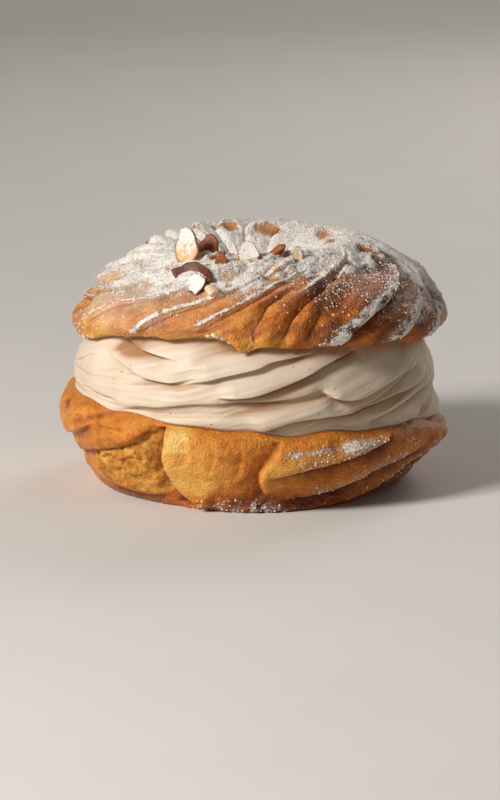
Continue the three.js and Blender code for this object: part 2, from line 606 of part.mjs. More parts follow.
// A curled almond flake: a thin oval, pointed at one end, both faces fanned from their middles.
function flakeGeometry(length, width, curl) {
  const positions = [];
  const indices = [];
  const sag = (x, y) => curl * length * ((2 * x) / length) ** 2 + curl * width * ((2 * y) / width) ** 2;
  for (const face of [0.5, -0.5]) {
    positions.push(0, 0, face * FLAKE_THICKNESS);
    for (let i = 0; i < FLAKE_SIDES; i += 1) {
      const angle = (2 * Math.PI * i) / FLAKE_SIDES;
      const pointed = 1.3 * (1 - 0.25 * (1 + Math.cos(angle)));
      const x = (length / 2) * Math.cos(angle);
      const y = (width / 2) * Math.sin(angle) * pointed;
      positions.push(x, y, face * FLAKE_THICKNESS + sag(x, y));
    }
  }
  const lower = FLAKE_SIDES + 1;
  for (let i = 0; i < FLAKE_SIDES; i += 1) {
    const a = 1 + i;
    const b = 1 + ((i + 1) % FLAKE_SIDES);
    indices.push(0, a, b);
    indices.push(lower, lower + b, lower + a);
    indices.push(a, lower + a, lower + b, a, lower + b, b);
  }
  const geometry = new THREE.BufferGeometry();
  geometry.setAttribute('position', new THREE.Float32BufferAttribute(positions, 3));
  geometry.setIndex(indices);
  return geometry;
}

function almondOnLid([azimuth, t, heading, tilt, length, width, curl]) {
  const { point, round, slope, out } = lidSpot(azimuth, t);
  const heightAlong = (x) => (x * length / 2) * Math.sin(tilt * DEG)
    + curl * length * x * x * Math.cos(tilt * DEG);
  const lowest = Math.min(...[-1, -0.75, -0.5, -0.25, 0, 0.25, 0.5, 0.75, 1].map(heightAlong));
  const basis = new THREE.Matrix4().makeBasis(round, slope, out);
  const turn = new THREE.Matrix4().makeRotationZ(heading * DEG);
  const lean = new THREE.Matrix4().makeRotationY(-tilt * DEG);
  const matrix = basis.multiply(turn).multiply(lean);
  matrix.setPosition(point.clone().addScaledVector(out, -lowest - FLAKE_SINK));
  return flakeGeometry(length, length * width, curl).applyMatrix4(matrix);
}

function nibOnLid([azimuth, t, size]) {
  const { point, out } = lidSpot(azimuth, t);
  const geometry = new THREE.IcosahedronGeometry(size / 2, 0);
  const spot = point.addScaledVector(out, size * 0.3);
  geometry.scale(1.15, 0.9, 0.85);
  return geometry.translate(spot.x, spot.y, spot.z);
}

// ---------------------------------------------------------------- fusing

const wasm = await Module();
wasm.setup();

function toManifold(geometry) {
  const bare = geometry.clone();
  bare.deleteAttribute('normal');
  bare.deleteAttribute('uv');
  const merged = mergeVertices(bare, 1e-4);
  const vertProperties = new Float32Array(merged.attributes.position.array);
  const triVerts = new Uint32Array(merged.index.array);
  return new wasm.Manifold(new wasm.Mesh({ numProp: 3, vertProperties, triVerts }));
}

function toGeometry(manifold) {
  const mesh = manifold.getMesh();
  const geometry = new THREE.BufferGeometry();
  const positions = new THREE.Float32BufferAttribute(Array.from(mesh.vertProperties), 3);
  geometry.setAttribute('position', positions);
  geometry.setIndex(Array.from(mesh.triVerts));
  geometry.computeVertexNormals();
  return geometry;
}

// Drops the inside-out shells that a flake seals over a groove, so that each is filled.
function withoutCavities({ attributes, index }) {
  const leader = Array.from({ length: attributes.position.count }, (_, i) => i);
  const find = (i) => {
    let top = i;
    while (leader[top] !== top) {
      top = leader[top];
    }
    leader[i] = top;
    return top;
  };
  const triangles = [];
  for (let i = 0; i < index.count; i += 3) {
    const corners = [index.getX(i), index.getX(i + 1), index.getX(i + 2)];
    leader[find(corners[1])] = find(corners[0]);
    leader[find(corners[2])] = find(corners[0]);
    triangles.push(corners);
  }
  const volumes = new Map();
  for (const corners of triangles) {
    const [a, b, c] = corners.map((k) => new THREE.Vector3().fromBufferAttribute(attributes.position, k));
    const shell = find(corners[0]);
    volumes.set(shell, (volumes.get(shell) ?? 0) + a.dot(b.cross(c)));
  }
  const kept = triangles.filter((corners) => volumes.get(find(corners[0])) > 0);
  const geometry = new THREE.BufferGeometry();
  geometry.setAttribute('position', attributes.position);
  geometry.setIndex(kept.flat());
  geometry.computeVertexNormals();
  return geometry;
}

function chouxLid() {
  const toppings = [...ALMONDS.map(almondOnLid), ...NIBS.map(nibOnLid)].map(toManifold);
  const solid = toppings.reduce((sum, topping) => sum.add(topping), toManifold(lidGeometry()));
  return withoutCavities(toGeometry(solid));
}

// ---------------------------------------------------------------- the pastry

function piece(name, geometry, color, roughness) {
  const material = new THREE.MeshStandardMaterial({ color, roughness, metalness: 0 });
  const mesh = new THREE.Mesh(geometry, material);
  mesh.name = name;
  return mesh;
}

const parisBrest = new THREE.Group();
parisBrest.add(piece('choux_base', chouxBase(), 0xd69a4e, 0.7));
parisBrest.add(piece('praline_cream', pralineCream(), 0xeedcc2, 0.45));
parisBrest.add(piece('choux_lid', chouxLid(), 0xcf8c48, 0.7));

export default parisBrest;
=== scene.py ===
# %% [markdown]
# # A Paris-Brest in Blender
#
# A Paris-Brest is a ring of choux pastry, baked, cut level and filled with praline
# cream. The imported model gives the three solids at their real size: the base, the
# cream and the lid. This lesson dresses each of them with a finer mesh of the same
# form, then adds the almond flakes, the icing sugar and the baked colours.

# %% Load the frame
import itertools
import math

import bmesh
import bpy
import numpy as np
from mathutils import Matrix, Vector


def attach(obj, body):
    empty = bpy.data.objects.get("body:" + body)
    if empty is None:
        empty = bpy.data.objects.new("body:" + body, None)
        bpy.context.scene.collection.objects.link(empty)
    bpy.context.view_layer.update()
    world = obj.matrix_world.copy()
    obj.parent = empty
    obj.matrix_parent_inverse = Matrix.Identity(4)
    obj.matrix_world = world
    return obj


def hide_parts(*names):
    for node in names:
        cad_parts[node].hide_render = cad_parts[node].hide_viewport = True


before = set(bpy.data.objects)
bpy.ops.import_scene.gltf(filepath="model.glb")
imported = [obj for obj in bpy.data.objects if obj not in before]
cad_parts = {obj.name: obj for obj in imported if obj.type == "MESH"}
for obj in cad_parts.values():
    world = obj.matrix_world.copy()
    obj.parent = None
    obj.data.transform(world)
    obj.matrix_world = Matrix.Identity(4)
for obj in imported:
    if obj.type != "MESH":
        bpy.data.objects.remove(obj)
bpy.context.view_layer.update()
scene = bpy.context.scene
print("solids:", sorted(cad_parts))


# %% [markdown]
# ## The camera and the studio
#
# Food is shot low and from far off with a long lens, so that the layers read as
# layers. One soft light from the left and above rakes over the piped ridges, a weak
# one from the right keeps the shaded side from going black, and one from behind
# draws the edge of the lid.

# %% Camera
MM = 0.001
DEG = math.pi / 180

CAMERA_DISTANCE = 1.1          # metres, so that nothing looks near
CAMERA_ELEVATION = 11.5        # degrees above the table
CAMERA_AIM = Vector((-0.7, 0.0, 18.5)) * MM
FRAME_HEIGHT = 0.1912          # metres of the scene that the picture takes in at the aim
SENSOR_HEIGHT = 24.0

camera_data = bpy.data.cameras.new("camera")
camera_data.sensor_fit = "VERTICAL"
camera_data.sensor_height = SENSOR_HEIGHT
camera_data.lens = SENSOR_HEIGHT * CAMERA_DISTANCE / FRAME_HEIGHT
camera = bpy.data.objects.new("camera", camera_data)
scene.collection.objects.link(camera)
scene.camera = camera
elevation = CAMERA_ELEVATION * DEG
camera.location = CAMERA_AIM + CAMERA_DISTANCE * Vector((0, -math.cos(elevation), math.sin(elevation)))
camera.rotation_euler = (math.pi / 2 - elevation, 0, 0)
print("lens in mm:", round(camera_data.lens, 1))


# %% Lights
LAMPS_FACE = Vector((0, 0, 0.03))
# each lamp: name, place in metres, size in metres, watts, colour
LAMPS = [
    ("key", (-0.61, -0.49, 0.5), 0.24, 8.6, (1.0, 0.975, 0.94)),
    ("fill", (0.4, -0.86, 0.35), 0.7, 0.3, (1.0, 0.96, 0.92)),
    ("back", (0.4, 0.7, 0.5), 0.4, 2.3, (1.0, 0.97, 0.94)),
]
WORLD_COLOUR = (1.0, 0.95, 0.89, 1)
WORLD_STRENGTH = 0.08


def area_light(name, place, size, power, colour):
    """A square lamp that faces the pastry."""
    data = bpy.data.lights.new(name, "AREA")
    data.size = size
    data.energy = power
    data.color = colour
    lamp = bpy.data.objects.new(name, data)
    lamp.location = place
    facing = LAMPS_FACE - Vector(place)
    lamp.rotation_euler = facing.to_track_quat("-Z", "Y").to_euler()
    scene.collection.objects.link(lamp)


for lamp_row in LAMPS:
    area_light(*lamp_row)
scene.view_settings.view_transform = "Standard"

world = bpy.data.worlds.new("studio")
world.use_nodes = True
background = world.node_tree.nodes["Background"]
background.inputs["Color"].default_value = WORLD_COLOUR
background.inputs["Strength"].default_value = WORLD_STRENGTH
scene.world = world
print("lamps:", [lamp_row[0] for lamp_row in LAMPS])


# %% [markdown]
# ## Node helpers
#
# Every finish below is a tree of shader nodes. One small function adds a node, sets
# its settings and links its inputs, so that a material reads as a list of steps.
# Colours are written as the hex values that a painter would pick, and turned to the
# linear values that the renderer works in.

# %% Node and colour helpers
def linear(hex_colour):
    """Linear RGBA of an sRGB colour such as '#c8843c'."""
    channels = [int(hex_colour[i:i + 2], 16) / 255 for i in (1, 3, 5)]
    return [c / 12.92 if c <= 0.04045 else ((c + 0.055) / 1.055) ** 2.4 for c in channels] + [1.0]


def set_inputs(tree, node, **inputs):
    """Fills a node's inputs, by name or as i0, i1: a socket is linked, any other is its value."""
    for key, value in inputs.items():
        name = key.replace("_", " ")
        numbered = name[0] == "i" and name[1:].isdigit()
        socket = node.inputs[int(name[1:]) if numbered else name]
        if isinstance(value, bpy.types.NodeSocket):
            tree.links.new(value, socket)
        else:
            socket.default_value = value


def add_node(tree, kind, settings=None, **inputs):
    """Adds a node with its settings and inputs."""
    node = tree.nodes.new(kind)
    for key, value in (settings or {}).items():
        setattr(node, key, value)
    set_inputs(tree, node, **inputs)
    return node


def new_material(name):
    """An empty material and its tree, with a Principled shader wired to the output."""
    material = bpy.data.materials.new(name)
    material.use_nodes = True
    tree = material.node_tree
    tree.nodes.clear()
    shader = add_node(tree, "ShaderNodeBsdfPrincipled")
    add_node(tree, "ShaderNodeOutputMaterial", Surface=shader.outputs["BSDF"])
    return material, tree, shader


def math_node(tree, operation, *numbers):
    """A sum of two or three numbers, each of which may be a socket."""
    inputs = {f"i{k}": number for k, number in enumerate(numbers)}
    return add_node(tree, "ShaderNodeMath", {"operation": operation}, **inputs).outputs[0]


def scaled(tree, value, factor, shift=0.0):
    """value * factor + shift."""
    return math_node(tree, "MULTIPLY_ADD", value, factor, shift)


def swing(tree, value, strength):
    """Noise of 0 to 1 turned into noise about zero."""
    return scaled(tree, value, strength, -strength / 2)


def total(tree, *values):
    """The sum of any number of sockets."""
    result = values[0]
    for value in values[1:]:
        result = math_node(tree, "ADD", result, value)
    return result


def remap(tree, value, low, high, out_low=0.0, out_high=1.0):
    """A smooth step from out_low to out_high as value goes from low to high."""
    node = add_node(tree, "ShaderNodeMapRange", {"interpolation_type": "SMOOTHSTEP"}, Value=value)
    set_inputs(tree, node, i1=low, i2=high, i3=out_low, i4=out_high)
    return node.outputs[0]


def mix_colour(tree, factor, first, second):
    """Blends two colours; each may be a socket or a linear RGBA."""
    node = add_node(tree, "ShaderNodeMix", {"data_type": "RGBA"}, i0=factor, i6=first, i7=second)
    return node.outputs[2]


def colour_ramp(tree, factor, stops):
    """A ramp through hex colours at given places."""
    ramp = add_node(tree, "ShaderNodeValToRGB", Fac=factor)
    elements = ramp.color_ramp.elements
    elements[0].position, elements[0].color = stops[0][0], linear(stops[0][1])
    elements[1].position, elements[1].color = stops[-1][0], linear(stops[-1][1])
    for position, colour in stops[1:-1]:
        element = elements.new(position)
        element.color = linear(colour)
    return ramp.outputs["Color"]


def noise(tree, size_mm, detail=2.0, roughness=0.5):
    """Noise on Object coordinates whose lumps are about size_mm apart."""
    coordinates = add_node(tree, "ShaderNodeTexCoord").outputs["Object"]
    node = add_node(tree, "ShaderNodeTexNoise", Vector=coordinates, Scale=1 / (size_mm * MM),
                    Detail=detail, Roughness=roughness)
    return node.outputs["Fac"]


def mask(tree, name):
    """A number painted on the mesh's points."""
    return add_node(tree, "ShaderNodeAttribute", {"attribute_name": name}).outputs["Fac"]


def fine_relief(tree, height, strength, depth_mm):
    """The normal of a surface with relief too fine for its mesh."""
    node = add_node(tree, "ShaderNodeBump", Strength=strength, Distance=depth_mm * MM, Height=height)
    return node.outputs["Normal"]


print("node helpers ready")


# %% [markdown]
# ## Curves and noise for the meshes
#
# The shapes are worked out with numpy, for whole arrays of points at once. A few
# values placed round the ring are joined by a Catmull-Rom curve, and unevenness
# comes from smooth lattice noise with a fixed seed, so each run gives the same pastry.

# %% Curve and noise helpers
def smoothstep(low, high, x):
    t = np.clip((x - low) / (high - low), 0, 1)
    return t * t * (3 - 2 * t)


def mix(a, b, t):
    return a + (b - a) * t


def wrap(azimuth):
    """Degrees from -180 to 180."""
    return (np.asarray(azimuth) + 180) % 360 - 180


def bump(x, centre, width):
    """A bell that is 1 at its centre."""
    return np.exp(-(((x - centre) / width) ** 2))


def near(azimuth, centre, half_width):
    """A bell round one azimuth of the ring, in degrees."""
    return bump(wrap(azimuth - centre), 0, half_width)


def bells(rows, azimuth, level):
    """The sum of bells: azimuth, level, half width in degrees, half height, amount."""
    result = np.zeros(azimuth.shape)
    for centre, height, half_width, half_height, amount in rows:
        result += amount * near(azimuth, centre, half_width) * bump(level, height, half_height)
    return result


ANY_HEIGHT = (-2, -1)          # heights that all of the pastry lies above


def tones(rows, azimuth, z):
    """The sum of bells round the ring: amount, azimuth, half width, and the heights it comes in over."""
    return sum(amount * near(azimuth, centre, half_width) * smoothstep(low, high, z)
               for amount, centre, half_width, low, high in rows)


def catmull_rom(a, b, c, d, t):
    """One span of a smooth curve, from b to c."""
    slope_in = (c - a) / 2
    slope_out = (d - b) / 2
    t2 = t * t
    t3 = t2 * t
    ends = (2 * t3 - 3 * t2 + 1) * b + (t3 - 2 * t2 + t) * slope_in + (3 * t2 - 2 * t3) * c
    return ends + (t3 - t2) * slope_out


def spline(values, t):
    """A smooth curve through evenly spaced values, each a number or an array like t."""
    t = np.asarray(t, float)
    knots = np.stack([np.broadcast_to(value, t.shape) for value in values])
    last = len(values) - 1
    x = np.clip(t, 0, 1) * last
    i = np.minimum(np.floor(x).astype(int), last - 1)

    def knot(k):
        return np.take_along_axis(knots, np.clip(k, 0, last)[None], 0)[0]

    return catmull_rom(knot(i - 1), knot(i), knot(i + 1), knot(i + 2), x - i)


KNOT_STEP = 30                 # degrees between the values of a list that goes round


def around(values, azimuth):
    """A smooth closed curve through a value every KNOT_STEP degrees from -180."""
    values = np.asarray(values, float)
    x = (wrap(azimuth) + 180) / KNOT_STEP
    i = np.floor(x).astype(int)
    knots = [values[(i + k) % len(values)] for k in (-1, 0, 1, 2)]
    return catmull_rom(*knots, x - i)


def lattice_noise(points, cell, seed):
    """Smooth noise from -1 to 1 whose lumps are `cell` mm apart."""
    q = points / cell
    corner = np.floor(q).astype(np.int64)
    t = q - corner
    t = t * t * (3 - 2 * t)
    result = np.zeros(len(points))
    for offset in itertools.product((0, 1), repeat=3):
        c = corner + np.array(offset)
        h = (c[:, 0] * 73856093) ^ (c[:, 1] * 19349663) ^ (c[:, 2] * 83492791) ^ (seed * 2654435761)
        h &= 0xFFFFFFFF
        h = ((h ^ (h >> 15)) * 2246822519) & 0xFFFFFFFF
        h = ((h ^ (h >> 13)) * 3266489917) & 0xFFFFFFFF
        value = ((h ^ (h >> 16)) & 0xFFFF) / 32767.5 - 1
        weight = np.prod(np.where(offset, t, 1 - t), axis=1)
        result += value * weight
    return result


def noise_at(points):
    """A function that gives noise at a grid of points, for a cell in mm and a seed."""
    def lumps(cell, seed):
        return lattice_noise(points.reshape(-1, 3), cell, seed).reshape(points.shape[:-1])

    return lumps


def drawn_out(first, second, cell, seed):
    """Noise that two grids of numbers stretch into streaks."""
    return noise_at(np.stack([first, second, 0 * second], -1))(cell, seed)


def layered(lumps, layers):
    """A sum of noises: each layer has a height in mm, a cell in mm and a seed."""
    return sum(height * lumps(cell, seed) for height, cell, seed in layers)


print("a lump of noise:", round(float(lattice_noise(np.array([[1.2, 3.4, 5.6]]), 2.0, 3)[0]), 3))


# %% [markdown]
# ## The driving sizes
#
# These repeat the sizes of the solids, in millimetres, because the finer meshes have
# to lie where the solids lie. Azimuths are degrees round the ring: 0 is the right,
# -90 the front. The lists give a value every 30 degrees from azimuth -180.

# %% Sizes
HOLE_RADIUS = 6.6
SEAT_RADIUS = 35.5
BASE_RADIUS = 43.8
RIM_RADIUS = 42.6
CREAM_RADIUS = 42.9
LIP_RADIUS = 42.4
LID_RADIUS = 44.0
CREST_RADIUS = 22.8
CREST_HEIGHT = 57.3
CREAM_GAP = 0.06
CENTRE_SHIFT = np.array([-0.1, -0.2])

RIM_HEIGHT = [22.6, 22.4, 21.0, 19.2, 18.6, 17.6, 15.4, 15.4, 16.6, 18.6, 20.4, 21.8]
LIP_HEIGHT = [35.0, 38.2, 41.0, 40.6, 38.6, 37.2, 36.0, 36.2, 37.4, 38.2, 37.8, 36.0]
SEAT_SPREAD = [0.8, 0.4, 1.2, 4.2, 1.8, -2.6, -1.2, 0.0, 0.4, 0.0, 0.0, 0.6]
BELLY_SPREAD = [-0.4, 0.2, 0.6, 1.4, 0.4, -1.4, -1.8, -0.4, 0.6, 0.6, 0.4, 0.0]
BASE_SPREAD = [0.5, 0.2, -0.2, 0.0, 0.1, 0.2, 0.7, 0.4, -0.2, 0.1, 0.3, 0.0]
CREAM_SPREAD = [-0.9, 0.0, 0.5, 0.5, 0.4, 0.2, -0.1, 0.3, 0.5, 0.0, 0.3, -0.2]
LID_SPREAD = [-1.2, -0.4, 0.2, 0.2, 0.3, 0.8, 1.2, 0.9, 0.2, 0.4, 0.0, -0.6]
SHOULDER_SPREAD = [-4.4, -3.2, -0.8, 0.4, 0.6, 0.2, -0.3, 0.0, 0.2, 0.0, -1.2, -3.4]

BASE_TOP_MIDDLE = 18.8
LID_UNDERSIDE_MIDDLE = 38.4


def ripple(azimuth, phase):
    """The small rise and fall of a cut edge, in mm."""
    turn = azimuth * DEG
    return 0.34 * np.sin(11 * turn + phase) + 0.26 * np.sin(17 * turn + 2.4 * phase)


RIM_PHASE = 1.0
LIP_PHASE = 3.1
RIPPLE_FADE = 10               # the larger, the sooner the ripple dies away inwards


def rim_height(azimuth):
    return around(RIM_HEIGHT, azimuth) + ripple(azimuth, RIM_PHASE)


def lip_height(azimuth):
    return around(LIP_HEIGHT, azimuth) + ripple(azimuth, LIP_PHASE)


def cut_face(middle, edge_height, phase, azimuth, part):
    """Height of a cut face, which levels out towards the hole."""
    level = mix(middle, around(edge_height, azimuth), part ** 1.5)
    return level + ripple(azimuth, phase) * np.minimum(part, 1) ** RIPPLE_FADE


def base_top(azimuth, radius):
    return cut_face(BASE_TOP_MIDDLE, RIM_HEIGHT, RIM_PHASE, azimuth, radius / RIM_RADIUS)


def lid_underside(azimuth, radius):
    return cut_face(LID_UNDERSIDE_MIDDLE, LIP_HEIGHT, LIP_PHASE, azimuth, radius / LIP_RADIUS)


def edge_drip(azimuth):
    """How far the lid's edge hangs down at the one place where the dough ran."""
    round_it = wrap(azimuth + 94)
    step = 1.1 * smoothstep(-3.5, 0.5, round_it) * smoothstep(32, 12, round_it)
    return step + 0.8 * bump(round_it, 0.5, 2.6)


def place(radius, azimuth, z):
    """Points in mm from their distance to the axis, azimuth and height."""
    x = radius * np.cos(azimuth * DEG) + CENTRE_SHIFT[0]
    y = radius * np.sin(azimuth * DEG) + CENTRE_SHIFT[1]
    return np.stack([x, y, z + 0 * x], -1)


print("cream shows over", round(float(lip_height(-90) - rim_height(-90)), 1), "mm at the front")


# %% [markdown]
# ## Closed rings of quads
#
# All three pieces are rings, so one function makes each mesh: a grid of sections
# round the axis whose last column joins the first, and whose rows run up the
# outside, in over the top, down the hole and out underneath. The mesh is closed
# and its faces point outwards, and the masks ride on its points.

# %% Ring mesh
def section_grid(columns, rows):
    """The azimuth of each column and the place on the section of each row, as two grids."""
    azimuth = np.linspace(-180, 180, columns, endpoint=False)[:, None]
    t = np.linspace(0, 1, rows)[None, :]
    return np.broadcast_arrays(azimuth, t)


def painted_mesh(name, points, faces, masks):
    """An object from points in mm, with named numbers on its points."""
    mesh = bpy.data.meshes.new(name)
    mesh.from_pydata((points.reshape(-1, 3) * MM).tolist(), [], faces)
    for key, values in masks.items():
        layer = mesh.attributes.new(key, "FLOAT", "POINT")
        layer.data.foreach_set("value", np.asarray(values, np.float32).ravel())
    mesh.shade_smooth()
    return link_object(name, mesh)


def link_object(name, mesh):
    piece = bpy.data.objects.new(name, mesh)
    scene.collection.objects.link(piece)
    return piece


def ring_object(name, face, others, masks):
    """A closed ring from the grid of its outer face and the grids of rows that close it.

    Each mask is a grid of numbers for the face and one number for all the other rows.
    """
    points = np.concatenate([face, *others], 1)
    columns, rows = points.shape[:2]
    i, j = np.meshgrid(np.arange(columns), np.arange(rows), indexing="ij")

    def index(a, b):
        return (a % columns) * rows + (b % rows)

    quads = np.stack([index(i, j), index(i + 1, j), index(i + 1, j + 1), index(i, j + 1)], -1)
    closing = (columns, rows - face.shape[1])
    padded = {
        key: np.concatenate([values, np.full(closing, rest)], 1) for key, (values, rest) in masks.items()
    }
    print(name, "has", 2 * columns * rows, "triangles")
    return painted_mesh(name, points, quads.reshape(-1, 4).tolist(), padded)


print("ring helpers ready")


# %% [markdown]
# ## Folds
#
# Piped cream and baked dough both show long steps: one strand swells to a lip and
# the next dips in under it. Each step is drawn as a line of a few azimuths and
# heights on the side of the ring. A point's distance to the line then gives how
# far it swells (on the left of the line's direction) or dips (on the right).
#
# A row for a fold says how high its lip is and how deep its dip, how far the swell
# and the hollow reach, over how long its ends fade and over how far its lip rounds,
# all in mm, and then the line, as azimuths in degrees and heights in mm.

# %% Fold helpers
FOLD_EDGE = 0.36               # half the width over which a step turns, in mm
OVERHANG = 0.45                # how far a lip sags over its hollow, for each mm of lift
LIP_AT_STEP = 0.5              # how much of a lip's swell is left right at the step
FOLD_MARGIN = 5                # a fold is worked out as far as this many times its reach
MM_PER_DEGREE = CREAM_RADIUS * DEG


def make_fold(lip, dip, swell, reach, fade, roll, *line):
    """A fold as a dict, with its line smoothed."""
    steps = np.linspace(0, 1, 8 * (len(line) - 1) + 1)
    azimuths = spline([p[0] for p in line], steps)
    heights = spline([p[1] for p in line], steps)
    return dict(azimuths=azimuths, heights=heights, lip=lip, dip=dip, swell=swell,
                reach=reach, fade=fade, roll=roll)


def fold_lift(fold, azimuth, z):
    """Lift and hollow, in mm, that one fold gives to arrays of places."""
    nearest = np.full(azimuth.shape, 1e9)
    side = np.ones(azimuth.shape)
    along = np.zeros(azimuth.shape)
    run = 0.0
    for k in range(len(fold["azimuths"]) - 1):
        dx = (fold["azimuths"][k + 1] - fold["azimuths"][k]) * MM_PER_DEGREE
        dz = fold["heights"][k + 1] - fold["heights"][k]
        px = wrap(azimuth - fold["azimuths"][k]) * MM_PER_DEGREE
        pz = z - fold["heights"][k]
        length = math.hypot(dx, dz)
        t = np.clip((px * dx + pz * dz) / length ** 2, 0, 1)
        distance = np.hypot(px - dx * t, pz - dz * t)
        closer = distance < nearest
        nearest = np.where(closer, distance, nearest)
        side = np.where(closer, dx * pz - dz * px, side)
        along = np.where(closer, run + t * length, along)
        run += length
    ends = smoothstep(0, fold["fade"], along) * smoothstep(0, fold["fade"], run - along)
    rounding = mix(LIP_AT_STEP, 1, smoothstep(0, fold["roll"], nearest))
    swell = fold["lip"] * np.exp(-nearest / fold["swell"]) * rounding
    hollow = fold["dip"] * np.exp(-nearest / fold["reach"])
    above = smoothstep(-FOLD_EDGE, FOLD_EDGE, np.where(side > 0, nearest, -nearest))
    return ends * swell * above, ends * hollow * (1 - above)


def folds_lift(folds, azimuth, z):
    """The lifts and the hollows of all the folds, each worked out only near its line."""
    lift = np.zeros(azimuth.shape)
    hollow = np.zeros(azimuth.shape)
    for fold in folds:
        margin = FOLD_MARGIN * max(fold["swell"], fold["reach"])
        middle = (fold["azimuths"].min() + fold["azimuths"].max()) / 2
        half = (fold["azimuths"].max() - fold["azimuths"].min()) / 2 + margin / MM_PER_DEGREE
        close = (np.abs(wrap(azimuth - middle)) < half) & (z > fold["heights"].min() - margin)
        close &= z < fold["heights"].max() + margin
        one_lift, one_hollow = fold_lift(fold, azimuth[close], z[close])
        lift[close] += one_lift
        hollow[close] += one_hollow
    return lift, hollow


BACK_STARTS = 0                # the azimuths between which the ring is plain and even
BACK_ENDS = 168


def climbing_line(azimuth, span, low, high, sag):
    """A line that climbs over `span` degrees, cut off where it would leave the back."""
    first = float(np.clip((BACK_STARTS - azimuth) / span, 0, 1))
    last = float(np.clip((BACK_ENDS - azimuth) / span, 0, 1))
    line = []
    for part in (0, 0.25, 0.5, 0.75, 1):
        t = mix(first, last, part)
        line.append((azimuth + span * t, mix(low, high, t) - sag * math.sin(math.pi * t)))
    return line


def random_source(seed):
    """Repeatable random numbers from 0 to 1, the same as the solids' own."""
    state = seed

    def draw():
        nonlocal state
        state = (state * 1664525 + 1013904223) % 4294967296
        return state / 4294967296

    return draw


print("folds ready")


# %% [markdown]
# ## The choux base
#
# The lower half of the ring bakes against the tray: a flat browned underside, sides
# that swell out, and piped ridges that climb to the right. At the left a smooth
# flap hangs over a torn place where the pale crumb shows, and a crack parts it
# from the front lobe. The ridges and the tear are folds; the crumb is noise.

# %% The base's folds
BASE_FOLDS = [
    # the lobe at the far left, and the flap beside it that hangs over the torn crumb
    (1.3, 1.0, 4, 2.4, 5, 2.2, (-180, 12.6), (-171, 12.8), (-162, 13.8), (-154, 15.5), (-145, 18.5)),
    (1.0, 1.4, 3.5, 2.4, 5, 1.8, (-176, 7.0), (-162, 9.4), (-148, 11.6), (-134, 14.2), (-127, 16.6),
     (-121, 20.4)),
    # the crack between the torn part and the front lobe
    (2.0, 3.4, 5, 3.0, 2, 2.4, (-118, 22), (-117, 17.3), (-118, 13.2), (-117, 9.5), (-114.5, 5.4),
     (-109, 2), (-106, 0)),
    # the valley where the right part begins, and the piped ridges that climb from it
    (1.5, 1.7, 2.4, 3.4, 3, 1.6, (-80, 19), (-84, 14.6), (-88, 9), (-85, 3)),
    (2.3, 2.6, 2.6, 2.2, 5, 2.2, (-86, 8.8), (-76, 10.9), (-69, 11.7), (-62, 12.9), (-52, 14.9),
     (-42, 17.4)),
    (2.3, 2.6, 2.6, 2.2, 12, 2.2, (-82, 2.6), (-70, 4.3), (-60, 5.9), (-49, 9.0), (-34, 11.6), (-18, 15)),
    (2.0, 2.2, 2.4, 2.0, 5, 2.0, (-62, 0.6), (-46, 3.0), (-32, 6.6), (-18, 10.6), (-4, 14.4)),
    (1.7, 1.8, 2.4, 2.0, 5, 2.0, (-40, 0.6), (-26, 3.8), (-12, 8.4), (2, 12.8)),
    # the red-brown strip along the foot of the torn part
    (1.0, 0.7, 3, 2, 5, 1.6, (-156, 6.6), (-149, 5.0), (-140, 3.0), (-128, 2.6), (-118, 3.4)),
]
# gentle swellings: azimuth, height, half width in degrees, half height in mm, lift in mm
BASE_LOBES = [
    (-131, 8.4, 12, 4.4, 1.1),
    (-103, 9.5, 11, 8.5, 1.3),
    (-71.5, 17.4, 4.5, 1.6, 0.8),
    (180, 6.0, 26, 4.5, -0.8),
    (-170, 5.6, 7, 1.7, 1.0),
]
BACK_RIDGE_STEP = 20           # degrees between the ridges of the back
BACK_RIDGE_SPAN = 43           # degrees that one of them climbs over


def piped_base_folds():
    """Even ridges round the back."""
    draw = random_source(21)
    folds = []
    for start in range(-40, 190, BACK_RIDGE_STEP):
        azimuth = start + 5 * (draw() - 0.5)
        rim = float(around(RIM_HEIGHT, azimuth + 40))
        line = climbing_line(azimuth, BACK_RIDGE_SPAN, 2, rim, 0)
        depth = 1.5 + 0.5 * draw()
        folds.append((depth, depth * 1.2, 2.4, 2.2, 5, 2.0, *line))
    return folds


base_folds = [make_fold(*fold) for fold in BASE_FOLDS + piped_base_folds()]
print("folds on the base:", len(base_folds))


# %% The base's mesh
BASE_COLUMNS = 640
BASE_FACE_ROWS = 136
# the outer face, by radii and by parts of the rim's height
BASE_SECTION_RADII = [
    SEAT_RADIUS, 37.4, 39.6, 41.6, BASE_RADIUS, BASE_RADIUS + 1.4, BASE_RADIUS + 1.0, RIM_RADIUS,
]
BASE_SECTION_RISE = [0, 0.06, 0.2, 0.38, 0.58, 0.77, 0.93, 1]
# the rows that close it: over the top, down the hole and out below
BASE_TOP_RADII = [42.0, 41.2, 40, 37, 32, 24, 16, HOLE_RADIUS + 1.5, HOLE_RADIUS + 0.9]
BASE_WALL_DEPTHS = [0.25, 0.5, 0.75]
BASE_UNDERSIDE_RADII = [HOLE_RADIUS + 1.0, HOLE_RADIUS + 1.6, 16, 24, 32]

